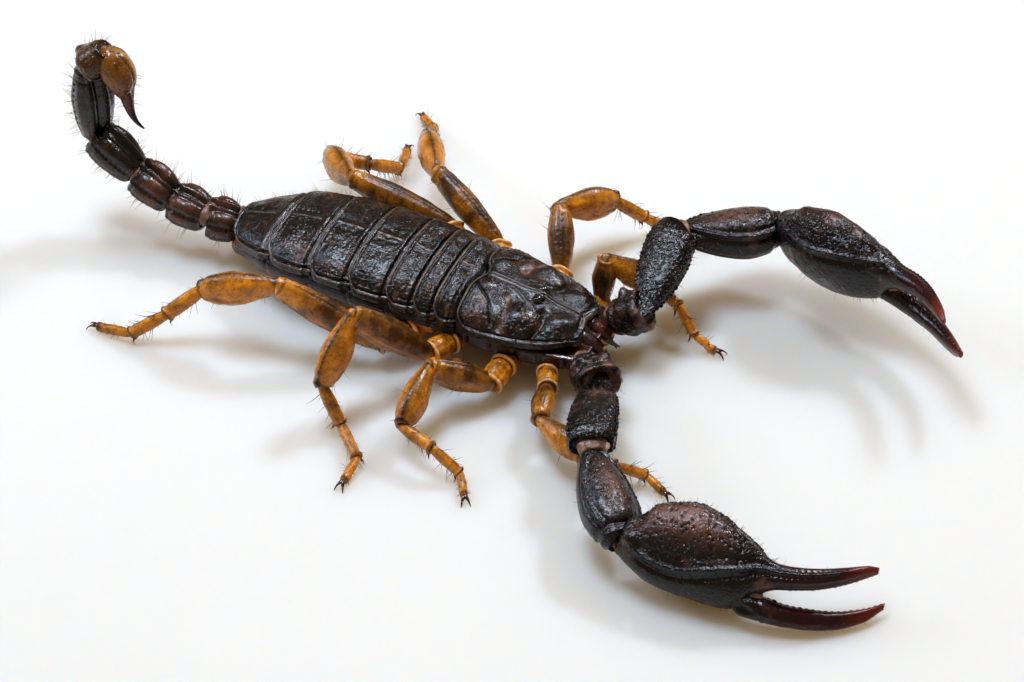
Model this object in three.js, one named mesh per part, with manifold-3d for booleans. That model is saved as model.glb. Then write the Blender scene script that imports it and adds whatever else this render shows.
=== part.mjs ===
// A life-size wood scorpion as a museum shows it: black shield, tail and claws, amber legs.
// Millimetres, +Z up. The head looks along -Y, the animal's right side is -X, and its eight
// feet stand on z = 0. Every plate and limb piece is a closed solid of its own; where two
// pieces meet, the one nearer the body is cut back to leave a thin seam.

import * as THREE from "three";
import { mergeVertices } from "three/addons/utils/BufferGeometryUtils.js";
import Module from "manifold-3d";

const wasm = await Module();
wasm.setup();

// ---------------------------------------------------------------- seams and fineness
const seam = 0.08;
const weldDistance = 1e-4;
const flatEnough = 0.045;
const limbSides = 8;
const footSides = 6;
const clawSides = 4;
const palpSides = 10;
const plateSides = 14;

// ---------------------------------------------------------------- trunk
// Stations along the back, at the hind edge of the head shield and of each back plate.
// ridge and rim are the heights of the midline and of the side margin, half the half width,
// belly the height of the underside.
const trunk = [
  { y: 0.0, ridge: 6.9, rim: 4.6, half: 4.6, belly: 1.5 },
  { y: 1.8, ridge: 6.9, rim: 4.7, half: 4.75, belly: 1.6 },
  { y: 3.5, ridge: 7.0, rim: 4.8, half: 4.85, belly: 1.55 },
  { y: 5.8, ridge: 7.15, rim: 4.9, half: 4.9, belly: 1.5 },
  { y: 9.1, ridge: 7.05, rim: 5.0, half: 4.9, belly: 1.4 },
  { y: 12.6, ridge: 6.7, rim: 4.9, half: 4.75, belly: 1.3 },
  { y: 16.6, ridge: 5.85, rim: 4.45, half: 4.15, belly: 1.1 },
  { y: 20.8, ridge: 4.3, rim: 3.2, half: 2.1, belly: 0.95 },
];
const firstBellyPlate = 3;
const plateStep = 0.14;
const plateDepth = 0.5;
const bellyInset = 0.3;
const backPower = 2.05;
const flatPower = 6;

// Head shield, from the hind edge forward.
const shield = [
  { y: -0.15, ridge: 6.9, rim: 4.6, half: 4.6 },
  { y: -2.2, ridge: 6.75, rim: 4.5, half: 4.65 },
  { y: -4.6, ridge: 6.35, rim: 4.5, half: 4.35 },
  { y: -7.0, ridge: 5.9, rim: 4.6, half: 3.65 },
  { y: -8.8, ridge: 5.45, rim: 4.75, half: 2.75 },
  { y: -9.5, ridge: 5.1, rim: 4.7, half: 2.3 },
];
// Underside of the head: breastplate with the first joints of legs and claws.
const breast = [
  { y: 1.7, half: 3.9, belly: 1.5 },
  { y: 0, half: 4.15, belly: 1.35 },
  { y: -4, half: 4.1, belly: 1.35 },
  { y: -7.5, half: 3.6, belly: 1.45 },
  { y: -9.6, half: 3.2, belly: 1.7 },
  { y: -10.3, half: 2.6, belly: 2.0 },
];
const breastTop = 4.0;

const eye = { x: 0.55, y: -5.2, z: 6.02, radius: 0.42 };

// Comb organs under the second plate.
const comb = { root: 0.5, reach: 4.2, sweep: 2.2, y: 2.5, z: 1.2, chord: 0.55, thick: 0.28 };

// ---------------------------------------------------------------- tail
// Yaw 180 points straight back; pitch past 90 leans the piece forward over the body.
const tailRoot = new THREE.Vector3(0, 21.05, 2.85);
const tailProfile = [
  [0, 0.6], [0.08, 0.8], [0.3, 0.96], [0.72, 1], [0.93, 0.96], [1, 0.7],
];
const longProfile = [
  [0, 0.6], [0.08, 0.75], [0.3, 0.95], [0.55, 1], [0.85, 0.8], [1, 0.55],
];
const wedgeProfile = [
  [0, 0.7], [0.12, 1.05], [0.3, 1.1], [0.6, 0.95], [0.85, 0.75], [1, 0.5],
];
const tail = [
  { length: 2.5, yaw: 200, pitch: 14, wide: 1.55, tall: 1.4, profile: tailProfile },
  { length: 3.2, yaw: 180, pitch: 9, wide: 1.5, tall: 1.4, profile: tailProfile },
  { length: 3.6, yaw: 180, pitch: 28, wide: 1.45, tall: 1.4, profile: tailProfile },
  { length: 4.4, yaw: 181, pitch: 38, wide: 1.45, tall: 1.42, profile: tailProfile },
  { length: 7.1, yaw: 180, pitch: 89, wide: 1.4, tall: 1.4, profile: longProfile },
  { length: 2.6, yaw: 190, pitch: 126, wide: 1.32, tall: 1.15, profile: wedgeProfile },
];
const tailPower = 2.8;
const sting = { length: 4.7, yaw: 179, pitch: 249, wide: 1.4, tall: 1.4 };
const stingProfile = [
  [0, 0.3], [0.1, 0.66, -0.08], [0.3, 0.96, -0.2], [0.55, 1, -0.26], [0.8, 0.74, -0.2], [0.95, 0.45],
];
const barb = { length: 3.1, root: 0.45, tip: 0.08, steps: 6, pitch: 262, endPitch: 188 };

// ---------------------------------------------------------------- legs
// Yaw turns from straight ahead out to the side, pitch lifts. Half thicknesses: wide is fore
// and aft, tall is from top to underside.
const legs = [
  {
    hip: [3.7, -7.7, 2.3],
    trochanter: { length: 2.0, wide: 0.8, tall: 0.85 },
    femur: { length: 3.95, wide: 0.72, tall: 0.95 },
    patella: { length: 4.7, wide: 0.68, tall: 0.9 },
    tibia: { length: 2.6, wide: 0.42, tall: 0.5 },
    basitarsus: { length: 2.6, wide: 0.38, tall: 0.42 },
    telotarsus: { length: 2.0, wide: 0.33, tall: 0.36 },
    right: { trochanter: [64, 6], femur: [73, 8], patella: [20, -6], tibia: [-14, -10],
      basitarsus: [-35, -31], telotarsus: 21 },
    left: { trochanter: [82, -15], femur: [97, 77], patella: [20, -33], tibia: [-21, -9],
      basitarsus: [-31, -33], telotarsus: 0 },
  },
  {
    hip: [4.3, -4.35, 2.2],
    trochanter: { length: 2.1, wide: 1.0, tall: 1.0 },
    femur: { length: 5.4, wide: 0.85, tall: 1.05 },
    patella: { length: 5.2, wide: 0.78, tall: 1.15 },
    tibia: { length: 3.1, wide: 0.45, tall: 0.53 },
    basitarsus: { length: 2.8, wide: 0.4, tall: 0.46 },
    telotarsus: { length: 2.1, wide: 0.34, tall: 0.38 },
    right: { trochanter: [95, -8], femur: [142, 30], patella: [89, -21], tibia: [14, -6],
      basitarsus: [-2, -37], telotarsus: 55 },
    left: { trochanter: [96, 14], femur: [117, 30], patella: [53, -17], tibia: [32, -40],
      basitarsus: [16, -23], telotarsus: 0 },
  },
  {
    hip: [4.3, 0.2, 2.7],
    trochanter: { length: 2.4, wide: 0.95, tall: 1.0 },
    femur: { length: 7.8, wide: 0.72, tall: 1.12 },
    patella: { length: 5.9, wide: 0.8, tall: 1.22 },
    tibia: { length: 3.3, wide: 0.48, tall: 0.56 },
    basitarsus: { length: 3.6, wide: 0.42, tall: 0.48 },
    telotarsus: { length: 2.3, wide: 0.36, tall: 0.4 },
    right: { trochanter: [108, 8], femur: [143, 42], patella: [100, -49], tibia: [18, -56],
      basitarsus: [42, -5], telotarsus: 90 },
    left: { trochanter: [118, 22], femur: [158, 20], patella: [125, -15], tibia: [104, -45],
      basitarsus: [119, -24], telotarsus: 138 },
  },
  {
    hip: [4.5, 3.6, 2.7],
    trochanter: { length: 2.8, wide: 0.95, tall: 1.0 },
    femur: { length: 9.0, wide: 0.7, tall: 1.1 },
    patella: { length: 6.6, wide: 0.8, tall: 1.12 },
    tibia: { length: 3.5, wide: 0.5, tall: 0.62 },
    basitarsus: { length: 3.4, wide: 0.44, tall: 0.52 },
    telotarsus: { length: 3.0, wide: 0.38, tall: 0.43 },
    right: { trochanter: [132, -9], femur: [166, 31], patella: [169, -19], tibia: [144, -37],
      basitarsus: [150, -33], telotarsus: 178 },
    left: { trochanter: [136, 24], femur: [180, 10], patella: [135, -25], tibia: [7, 3],
      basitarsus: [60, -34], telotarsus: 106 },
  },
];
const soleHeight = 0.42;
const soleSink = 0.08;
const soleLength = 0.5;
const claw = { length: 1.15, root: 0.25, tip: 0.1, spread: 24, steps: 3, lift: 10, drop: 80 };
const femurProfile = [[0.12, 0.72], [0.3, 0.95], [0.6, 1], [0.88, 0.86], [1, 0.55]];
const patellaProfile = [[0, 0.5], [0.09, 0.8], [0.35, 1], [0.7, 0.96], [0.93, 0.74], [1, 0.5]];

// ---------------------------------------------------------------- claws (pedipalps)
const palpRoot = [2.8, -10.3, 3.4];
const palp = {
  trochanter: { length: 2.9, wide: 1.7, tall: 1.5 },
  femur: { length: 7.7, wide: 1.65, tall: 1.25 },
  patella: { length: 8.7, wide: 2.0, tall: 1.7 },
  right: { trochanter: [38, 12], femur: [71, 8], patella: [49, -10], palm: [-10, 5], roll: 54, open: 0 },
  left: { trochanter: [9, 35], femur: [96, 11], patella: [37, -7], palm: [-16, 15], roll: 77, open: 4 },
};
const palpFemurProfile = [[-0.02, 0.5], [0.08, 0.8], [0.35, 0.97], [0.7, 1], [0.93, 0.85], [1, 0.55]];
const palpPatellaProfile = [
  [-0.02, 0.42], [0.08, 0.66, -0.15], [0.28, 0.88, -0.3], [0.5, 1, -0.35], [0.75, 0.98, -0.3],
  [0.93, 0.82, -0.15], [1, 0.55],
];
// Palm and fixed finger, then the movable finger. along is the distance from the wrist, side
// the offset towards the movable finger, lift the offset off the plane of the fingers (below
// it is negative), wide and deep the half sizes.
const palm = [
  { along: -0.1, side: 0.1, lift: 0, wide: 0.7, deep: 0.6 },
  { along: 0.5, side: 0.2, lift: -0.2, wide: 1.15, deep: 1.0 },
  { along: 1.8, side: 0.5, lift: -0.4, wide: 1.95, deep: 1.65 },
  { along: 3.4, side: 0.25, lift: -0.6, wide: 2.95, deep: 2.2 },
  { along: 5.4, side: 0.2, lift: -0.7, wide: 3.35, deep: 2.4 },
  { along: 7.3, side: 0.6, lift: -0.6, wide: 3.2, deep: 2.2 },
  { along: 9.1, side: 1.0, lift: -0.5, wide: 2.65, deep: 1.7 },
  { along: 10.3, side: 0.9, lift: -0.4, wide: 1.6, deep: 1.15 },
  { along: 11.7, side: 0.95, lift: -0.6, wide: 0.95, deep: 0.85 },
  { along: 14.3, side: 0.8, lift: -1.3, wide: 0.7, deep: 0.65 },
  { along: 16.4, side: 0.45, lift: -2.2, wide: 0.48, deep: 0.45 },
  { along: 17.9, side: 0.1, lift: -2.9, wide: 0.25, deep: 0.25 },
  { along: 18.4, side: 0, lift: -3.2, wide: 0.1, deep: 0.1 },
];
const finger = [
  { along: 8.4, side: 2.8, lift: -0.1, wide: 0.5, deep: 0.7 },
  { along: 9.2, side: 3.1, lift: -0.1, wide: 0.95, deep: 1.05 },
  { along: 10.7, side: 3.4, lift: -0.3, wide: 0.88, deep: 0.95 },
  { along: 12.2, side: 3.7, lift: -0.65, wide: 0.72, deep: 0.75 },
  { along: 14.1, side: 3.85, lift: -1.2, wide: 0.6, deep: 0.6 },
  { along: 16.2, side: 3.75, lift: -2.05, wide: 0.45, deep: 0.45 },
  { along: 17.8, side: 3.3, lift: -2.85, wide: 0.32, deep: 0.3 },
  { along: 19.1, side: 2.55, lift: -3.6, wide: 0.1, deep: 0.1 },
];
const fingerHinge = { along: 8.8, side: 3.0 };

// Mouth claws (chelicerae) under the front edge of the shield.
const mouthClaw = { x: 0.85, top: 3.95, wide: 0.62, tall: 0.6 };
const mouthClawProfile = [[-9.0, 0.8], [-9.7, 1], [-10.4, 0.95], [-11.0, 0.7], [-11.4, 0.35]];
const mouthClawDroop = 0.35;

// ---------------------------------------------------------------- finishes
const finish = (color, roughness) => new THREE.MeshStandardMaterial({ color, roughness, metalness: 0 });
const finishes = {
  blackShell: finish(0x1a1614, 0.3),
  brownShell: finish(0x3a2418, 0.35),
  amberShell: finish(0xa8652a, 0.35),
  eyeGloss: finish(0x050505, 0.08),
  stingShell: finish(0x8a4f22, 0.3),
};

// ---------------------------------------------------------------- solids
/** Rounds a circle's coordinate towards a square as power grows past 2. */
const bulge = (value, power) => Math.sign(value) * Math.abs(value) ** (2 / power);

/** Direction, sideways and upward unit vectors of a piece with this yaw and pitch. */
function aim([yaw, pitch], side = 1) {
  const a = THREE.MathUtils.degToRad(yaw);
  const b = THREE.MathUtils.degToRad(pitch);
  return {
    out: new THREE.Vector3(side * Math.sin(a) * Math.cos(b), -Math.cos(a) * Math.cos(b), Math.sin(b)),
    across: new THREE.Vector3(side * Math.cos(a), Math.sin(a), 0),
    up: new THREE.Vector3(-side * Math.sin(a) * Math.sin(b), Math.cos(a) * Math.sin(b), Math.cos(b)),
  };
}

/** The frame half way between two frames, for the ring where a limb bends. */
function between(first, second) {
  const out = first.out.clone().add(second.out).normalize();
  const across = first.across.clone().add(second.across);
  across.addScaledVector(out, -across.dot(out)).normalize();
  const up = out.clone().cross(across);
  return { out, across, up: up.multiplyScalar(Math.sign(up.dot(first.up)) || 1) };
}

/** A closed solid through rings that all have the same number of points. */
function loft(rings) {
  const count = rings[0].length;
  const points = rings.flat();
  const firstHub = points.length;
  for (const ring of [rings[0], rings[rings.length - 1]]) {
    const hub = new THREE.Vector3();
    ring.forEach((point) => hub.addScaledVector(point, 1 / count));
    points.push(hub);
  }
  const index = [];
  const lastRing = (rings.length - 1) * count;
  for (let i = 0; i < count; i++) {
    const next = (i + 1) % count;
    index.push(firstHub, next, i, firstHub + 1, lastRing + i, lastRing + next);
    for (let r = 0; r < rings.length - 1; r++) {
      const here = r * count;
      const there = here + count;
      index.push(here + i, here + next, there + next, here + i, there + next, there + i);
    }
  }
  return solidFrom(points, index);
}

/** A manifold solid from points and triangles, turned right side out if need be. */
function solidFrom(points, index) {
  let volume = 0;
  for (let i = 0; i < index.length; i += 3) {
    const [a, b, c] = [points[index[i]], points[index[i + 1]], points[index[i + 2]]];
    volume += a.dot(b.clone().cross(c));
  }
  const triVerts = Uint32Array.from(index);
  if (volume < 0) triVerts.reverse();
  const vertProperties = Float32Array.from(points.flatMap((point) => point.toArray()));
  return new wasm.Manifold(new wasm.Mesh({ numProp: 3, vertProperties, triVerts }));
}

/** The solid of one of three.js's own closed geometries. */
function solidOf(geometry) {
  geometry.deleteAttribute("normal");
  geometry.deleteAttribute("uv");
  const merged = mergeVertices(geometry, weldDistance);
  const position = merged.attributes.position;
  const points = [];
  for (let i = 0; i < position.count; i++) points.push(new THREE.Vector3().fromBufferAttribute(position, i));
  return solidFrom(points, Array.from(merged.index.array));
}

/** One ring across a limb; grow thickens it. */
function ring({ at, frame, wide, tall, power = 2 }, sides, grow) {
  return Array.from({ length: sides }, (_, i) => {
    const angle = ((i + 0.5) / sides) * 2 * Math.PI;
    return at.clone()
      .addScaledVector(frame.across, bulge(Math.cos(angle), power) * (wide + grow))
      .addScaledVector(frame.up, bulge(Math.sin(angle), power) * (tall + grow));
  });
}

/** A limb through its stations. grow makes it larger all round, to cut a seam with. */
function limb(stations, sides = limbSides, grow = 0) {
  const rings = stations.map((station) => ring(station, sides, grow));
  const first = stations[0].frame.out;
  const last = stations[stations.length - 1].frame.out;
  rings[0].forEach((point) => point.addScaledVector(first, -grow));
  rings[rings.length - 1].forEach((point) => point.addScaledVector(last, grow));
  return loft(rings);
}

/** The stations of one straight piece that swells and narrows by its profile. */
function piece(start, frame, { length, wide, tall }, profile, power = 2) {
  return profile.map(([along, swell, lift = 0]) => ({
    at: start.clone().addScaledVector(frame.out, along * length).addScaledVector(frame.up, lift),
    frame, wide: wide * swell, tall: tall * swell, power,
  }));
}

const ahead = (start, frame, length) => start.clone().addScaledVector(frame.out, length);

/** A ring across the trunk, domed above its rim and rounded or flat below it. */
function hoop({ y, half, ridge, rim, belly }, topPower, lowPower, grow = 0) {
  return Array.from({ length: plateSides }, (_, i) => {
    const angle = ((i + 0.5) / plateSides) * 2 * Math.PI;
    const power = Math.sin(angle) > 0 ? topPower : lowPower;
    const reach = Math.sin(angle) > 0 ? ridge - rim + grow : rim - belly + grow;
    const x = bulge(Math.cos(angle), power) * (half + grow);
    return new THREE.Vector3(x, y, rim + bulge(Math.sin(angle), power) * reach);
  });
}

/** The biggest body of a solid, dropping any sliver that a cut leaves. */
function whole(solid) {
  return solid.decompose().sort((a, b) => b.volume() - a.volume())[0];
}

/** A named mesh whose own origin is at its pivot, the joint it hangs from. */
function meshOf(name, solid, material, pivot = new THREE.Vector3()) {
  const { vertProperties, triVerts } = whole(solid).simplify(flatEnough).getMesh();
  const geometry = new THREE.BufferGeometry();
  geometry.setAttribute("position", new THREE.BufferAttribute(vertProperties, 3));
  geometry.setIndex(new THREE.BufferAttribute(triVerts, 1));
  geometry.translate(-pivot.x, -pivot.y, -pivot.z);
  geometry.computeVertexNormals();
  const mesh = new THREE.Mesh(geometry, material);
  mesh.name = name;
  mesh.position.copy(pivot);
  return mesh;
}

// ---------------------------------------------------------------- head
/** The underside of the head, which carries legs and claws. */
function breastSolid(grow = 0) {
  const rings = breast.map((station) => hoop(
    { ...station, ridge: breastTop, rim: breastTop - 0.6 }, flatPower, 2.4, grow));
  rings[0].forEach((point) => point.setY(point.y + grow));
  rings[rings.length - 1].forEach((point) => point.setY(point.y - grow));
  return loft(rings);
}

function eyeSolid(side, radius) {
  const ball = new THREE.SphereGeometry(radius, 8, 6);
  ball.translate(side * eye.x, eye.y, eye.z);
  return solidOf(ball);
}

function head() {
  const group = new THREE.Group();
  let carapace = loft(shield.map((station) => hoop(
    { ...station, belly: station.rim - plateDepth }, backPower, flatPower)));
  for (const [name, side] of [["right", -1], ["left", 1]]) {
    carapace = carapace.subtract(eyeSolid(side, eye.radius + seam));
    group.add(meshOf(`eye_${name}`, eyeSolid(side, eye.radius), finishes.eyeGloss));
    group.add(meshOf(`chelicera_${name}`, mouthClawSolid(side), finishes.brownShell));
  }
  group.add(meshOf("carapace", carapace, finishes.blackShell));
  group.add(meshOf("prosoma_base", breastSolid(), finishes.brownShell));
  return group;
}

/** One mouth claw: a short tapering block that droops a little towards its tip. */
function mouthClawSolid(side) {
  const frame = aim([0, 0]);
  const rings = mouthClawProfile.map(([y, swell], i) => ({
    at: new THREE.Vector3(side * mouthClaw.x, y, mouthClaw.top - mouthClawDroop * i * i * 0.1),
    frame, wide: mouthClaw.wide * swell, tall: mouthClaw.tall * swell, power: 2.6,
  }));
  return limb(rings).subtract(breastSolid(seam)).subtract(shieldCutter());
}

/** The shield grown by one seam, to cut what lies under its front edge. */
function shieldCutter() {
  return loft(shield.map((station) => hoop(
    { ...station, belly: station.rim - plateDepth }, backPower, flatPower, seam)));
}

// ---------------------------------------------------------------- trunk
/** A back plate between two stations, its hind edge a step above the next plate's front. */
function backPlate(front, hind) {
  const rings = [0, 0.12, 0.6, 1].map((t) => {
    const mix = (key) => THREE.MathUtils.lerp(front[key], hind[key], t);
    const drop = t < 0.1 ? plateStep : 0;
    return hoop({
      y: THREE.MathUtils.lerp(front.y + seam / 2, hind.y - seam / 2, t),
      half: mix("half") - drop, ridge: mix("ridge") - drop, rim: mix("rim"),
      belly: mix("rim") - plateDepth,
    }, backPower, flatPower);
  });
  return loft(rings);
}

/** The belly under one back plate, rounded below and flat where the plate rests. */
function bellyPlate(front, hind, grow = 0) {
  const rings = [0, 0.5, 1].map((t) => {
    const mix = (key) => THREE.MathUtils.lerp(front[key], hind[key], t);
    const top = mix("rim") - plateDepth - seam;
    const reach = seam / 2 - grow;
    return hoop({
      y: THREE.MathUtils.lerp(front.y + reach, hind.y - reach, t),
      half: mix("half") - bellyInset, ridge: top, rim: top - 0.6, belly: mix("belly"),
    }, flatPower, 2.2, grow);
  });
  return loft(rings);
}

/** The whole underside grown by one seam, to cut the roots of legs with. */
function underside() {
  return trunk.slice(2).reduce(
    (solid, hind, i) => solid.add(bellyPlate(trunk[i + 1], hind, seam)), breastSolid(seam));
}

/** The comb organs: the plate between the last hips with an arm swept out to each side. */
function combs() {
  const middle = bellyPlate(trunk[1], trunk[2]);
  const arms = [-1, 1].map((side) => limb([0, 0.5, 1].map((t) => ({
    at: new THREE.Vector3(
      side * THREE.MathUtils.lerp(comb.root, comb.reach, t), comb.y + comb.sweep * t * t, comb.z),
    frame: aim([90, 0], side),
    wide: comb.chord * (1 - 0.5 * t * t), tall: comb.thick,
  }))));
  const stem = new THREE.BoxGeometry(1.6, 1.2, 1.4);
  stem.translate(0, comb.y, comb.z + 0.5);
  return arms[0].add(arms[1]).add(solidOf(stem)).add(middle);
}

function body() {
  const group = new THREE.Group();
  for (let i = 1; i < trunk.length; i++) {
    group.add(meshOf(`tergite_${i}`, backPlate(trunk[i - 1], trunk[i]), finishes.blackShell));
    if (i < firstBellyPlate) continue;
    group.add(meshOf(`sternite_${i}`, bellyPlate(trunk[i - 1], trunk[i]), finishes.brownShell));
  }
  group.add(meshOf("pectines", combs(), finishes.amberShell));
  return group;
}

// ---------------------------------------------------------------- tail
/** The bulb of the sting and its barb, which curves forward as it thins. */
function stingStations(start) {
  const frame = aim([sting.yaw, sting.pitch]);
  const stations = piece(start, frame, sting, stingProfile);
  let at = ahead(start, frame, sting.length);
  for (let i = 0; i <= barb.steps; i++) {
    const t = i / barb.steps;
    const turned = aim([sting.yaw, THREE.MathUtils.lerp(barb.pitch, barb.endPitch, t * t)]);
    const radius = THREE.MathUtils.lerp(barb.root, barb.tip, t);
    stations.push({ at, frame: turned, wide: radius * 0.9, tall: radius });
    at = ahead(at, turned, barb.length / barb.steps);
  }
  return stations;
}

function tailGroup() {
  const group = new THREE.Group();
  const chain = [];
  let joint = tailRoot.clone();
  for (const link of tail) {
    const frame = aim([link.yaw, link.pitch]);
    chain.push({ pivot: joint, stations: piece(joint, frame, link, link.profile, tailPower) });
    joint = ahead(joint, frame, link.length);
  }
  chain.push({ pivot: joint, stations: stingStations(joint) });
  const trunkEnd = bellyPlate(trunk[6], trunk[7], seam).add(backPlate(trunk[6], trunk[7]));
  chain.forEach(({ pivot, stations }, i) => {
    const isSting = i === tail.length;
    let solid = limb(stations, palpSides);
    if (i === 0) solid = solid.subtract(trunkEnd);
    if (!isSting) solid = solid.subtract(limb(chain[i + 1].stations, palpSides, seam));
    const name = isSting ? "telson" : `tail_${i + 1}`;
    const shade = isSting ? finishes.stingShell : finishes.blackShell;
    group.add(meshOf(name, solid, shade, pivot));
  });
  return group;
}

// ---------------------------------------------------------------- legs
/** Everything below the floor, to cut the soles flat. */
function belowFloor() {
  const slab = new THREE.BoxGeometry(200, 200, 4);
  slab.translate(0, 0, -2);
  return solidOf(slab);
}

/** One hooked claw at a foot's end, curving down to the floor. */
function clawSolid(start, yaw, side) {
  const stations = [];
  let at = start.clone();
  for (let i = 0; i <= claw.steps; i++) {
    const t = i / claw.steps;
    const frame = aim([yaw, claw.lift - claw.drop * t], side);
    const radius = THREE.MathUtils.lerp(claw.root, claw.tip, t);
    stations.push({ at, frame, wide: radius, tall: radius });
    at = ahead(at, frame, claw.length / claw.steps);
  }
  return limb(stations, clawSides);
}

/** Shin and two foot joints as one bent limb, down to the sole. */
function footStations(knee, leg, pose, side) {
  const parts = ["tibia", "basitarsus"].map((key) => ({ size: leg[key], frame: aim(pose[key], side) }));
  const heel = parts.reduce((at, part) => ahead(at, part.frame, part.size.length), knee);
  const pitch = THREE.MathUtils.radToDeg(Math.asin((soleHeight - heel.z) / leg.telotarsus.length));
  parts.push({ size: leg.telotarsus, frame: aim([pose.telotarsus, pitch], side) });
  const stations = [];
  let at = knee.clone();
  parts.forEach(({ size, frame }, i) => {
    const bend = i === 0 ? frame : between(parts[i - 1].frame, frame);
    const waist = i === 0 ? 0.6 : 0.82;
    stations.push({ at, frame: bend, wide: size.wide * waist, tall: size.tall * waist });
    const middle = ahead(at, frame, size.length * 0.5);
    stations.push({ at: middle, frame, wide: size.wide, tall: size.tall });
    at = ahead(at, frame, size.length);
  });
  const level = aim([pose.telotarsus, 0], side);
  const { wide } = leg.telotarsus;
  const tall = soleHeight + soleSink;
  stations.push({ at: ahead(at, level, -soleLength), frame: level, wide, tall });
  stations.push({ at: ahead(at, level, -0.1), frame: level, wide: wide * 0.9, tall });
  stations.push({ at, frame: level, wide: wide * 0.6, tall: tall * 0.6 });
  return { stations, end: at, yaw: pose.telotarsus };
}

function legGroup(leg, number, name, side) {
  const group = new THREE.Group();
  const pose = leg[name];
  const hip = new THREE.Vector3(side * leg.hip[0], leg.hip[1], leg.hip[2]);
  const root = aim(pose.trochanter, side);
  const thigh = aim(pose.femur, side);
  const shank = aim(pose.patella, side);
  const trochanterEnd = ahead(hip, root, leg.trochanter.length);
  const knee = ahead(trochanterEnd, thigh, leg.femur.length);
  const shin = ahead(knee, shank, leg.patella.length);
  const { wide, tall } = leg.trochanter;
  const femurStations = [
    { at: hip, frame: root, wide: wide * 0.8, tall: tall * 0.8 },
    { at: ahead(hip, root, leg.trochanter.length * 0.55), frame: root, wide, tall },
    { at: trochanterEnd, frame: between(root, thigh), wide: wide * 0.8, tall: tall * 0.8 },
    ...piece(trochanterEnd, thigh, leg.femur, femurProfile),
  ];
  const patellaStations = piece(knee, shank, leg.patella, patellaProfile);
  const foot = footStations(shin, leg, pose, side);
  const femur = limb(femurStations).subtract(limb(patellaStations, limbSides, seam))
    .subtract(underside());
  const patella = limb(patellaStations).subtract(limb(foot.stations, footSides, seam));
  let footSolid = limb(foot.stations, footSides);
  for (const turn of [-claw.spread, claw.spread]) {
    footSolid = footSolid.add(clawSolid(foot.end, foot.yaw + turn, side));
  }
  footSolid = footSolid.subtract(belowFloor());
  const label = `leg_${number}_${name}`;
  group.add(meshOf(`${label}_femur`, femur, finishes.amberShell, hip));
  group.add(meshOf(`${label}_patella`, patella, finishes.amberShell, knee));
  group.add(meshOf(`${label}_foot`, footSolid, finishes.amberShell, shin));
  return group;
}

// ---------------------------------------------------------------- pedipalps
/** Frame of a palm: its sideways axis points to the movable finger, turned down by roll. */
function palmFrame(angles, roll, side) {
  const level = aim(angles, side);
  const turn = THREE.MathUtils.degToRad(roll);
  const across = level.across.clone().multiplyScalar(Math.cos(turn))
    .addScaledVector(level.up, -Math.sin(turn));
  const up = level.up.clone().multiplyScalar(Math.cos(turn))
    .addScaledVector(level.across, Math.sin(turn));
  return { out: level.out, across, up };
}

/** Stations of palm or finger, opened by an angle about the finger's hinge. */
function handStations(outline, wrist, frame, open = 0) {
  const turn = THREE.MathUtils.degToRad(open);
  return outline.map(({ along, side, lift, wide, deep }) => {
    const da = along - fingerHinge.along;
    const ds = side - fingerHinge.side;
    const a = open ? fingerHinge.along + da * Math.cos(turn) - ds * Math.sin(turn) : along;
    const s = open ? fingerHinge.side + da * Math.sin(turn) + ds * Math.cos(turn) : side;
    const at = wrist.clone().addScaledVector(frame.out, a).addScaledVector(frame.across, s)
      .addScaledVector(frame.up, lift);
    return { at, frame, wide, tall: deep, power: 2.2 };
  });
}

function palpGroup(name, side) {
  const group = new THREE.Group();
  const pose = palp[name];
  const chain = [];
  let joint = new THREE.Vector3(side * palpRoot[0], palpRoot[1], palpRoot[2]);
  for (const [part, profile, power] of [
    ["trochanter", palpFemurProfile, 2.4],
    ["femur", palpFemurProfile, 3],
    ["patella", palpPatellaProfile, 2.4],
  ]) {
    const frame = aim(pose[part], side);
    chain.push({ part, pivot: joint, stations: piece(joint, frame, palp[part], profile, power) });
    joint = ahead(joint, frame, palp[part].length);
  }
  const frame = palmFrame(pose.palm, pose.roll, side);
  const hinge = ahead(joint, frame, fingerHinge.along).addScaledVector(frame.across, fingerHinge.side);
  chain.push({ part: "palm", pivot: joint, stations: handStations(palm, joint, frame) });
  chain.push({ part: "finger", pivot: hinge, stations: handStations(finger, joint, frame, pose.open) });
  chain.forEach(({ part, pivot, stations }, i) => {
    let solid = limb(stations, palpSides);
    if (i === 0) solid = solid.subtract(breastSolid(seam));
    if (i < chain.length - 1) solid = solid.subtract(limb(chain[i + 1].stations, palpSides, seam));
    group.add(meshOf(`pedipalp_${name}_${part}`, solid, finishes.blackShell, pivot));
  });
  return group;
}

// ---------------------------------------------------------------- assembly
const scorpion = new THREE.Group();
scorpion.add(head(), body(), tailGroup());
for (const [name, side] of [["right", -1], ["left", 1]]) {
  scorpion.add(palpGroup(name, side));
  legs.forEach((leg, i) => scorpion.add(legGroup(leg, i + 1, name, side)));
}

const extent = new THREE.Box3().setFromObject(scorpion);
const centre = extent.getCenter(new THREE.Vector3());
scorpion.position.set(-centre.x, -centre.y, 0);

export default scorpion;
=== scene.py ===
"""A wood scorpion, life size, as a museum shows it: black plates and claws, amber legs.

Lengths are in millimetres in the animal's own frame until a mesh is made: x = 0 is its
midline, y = 0 the hind edge of its head shield, the head looks along -Y and z = 0 is the
floor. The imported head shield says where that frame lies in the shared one.
"""

import logging
import math
from collections.abc import Callable
from dataclasses import dataclass, field, replace
from enum import Enum

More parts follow.
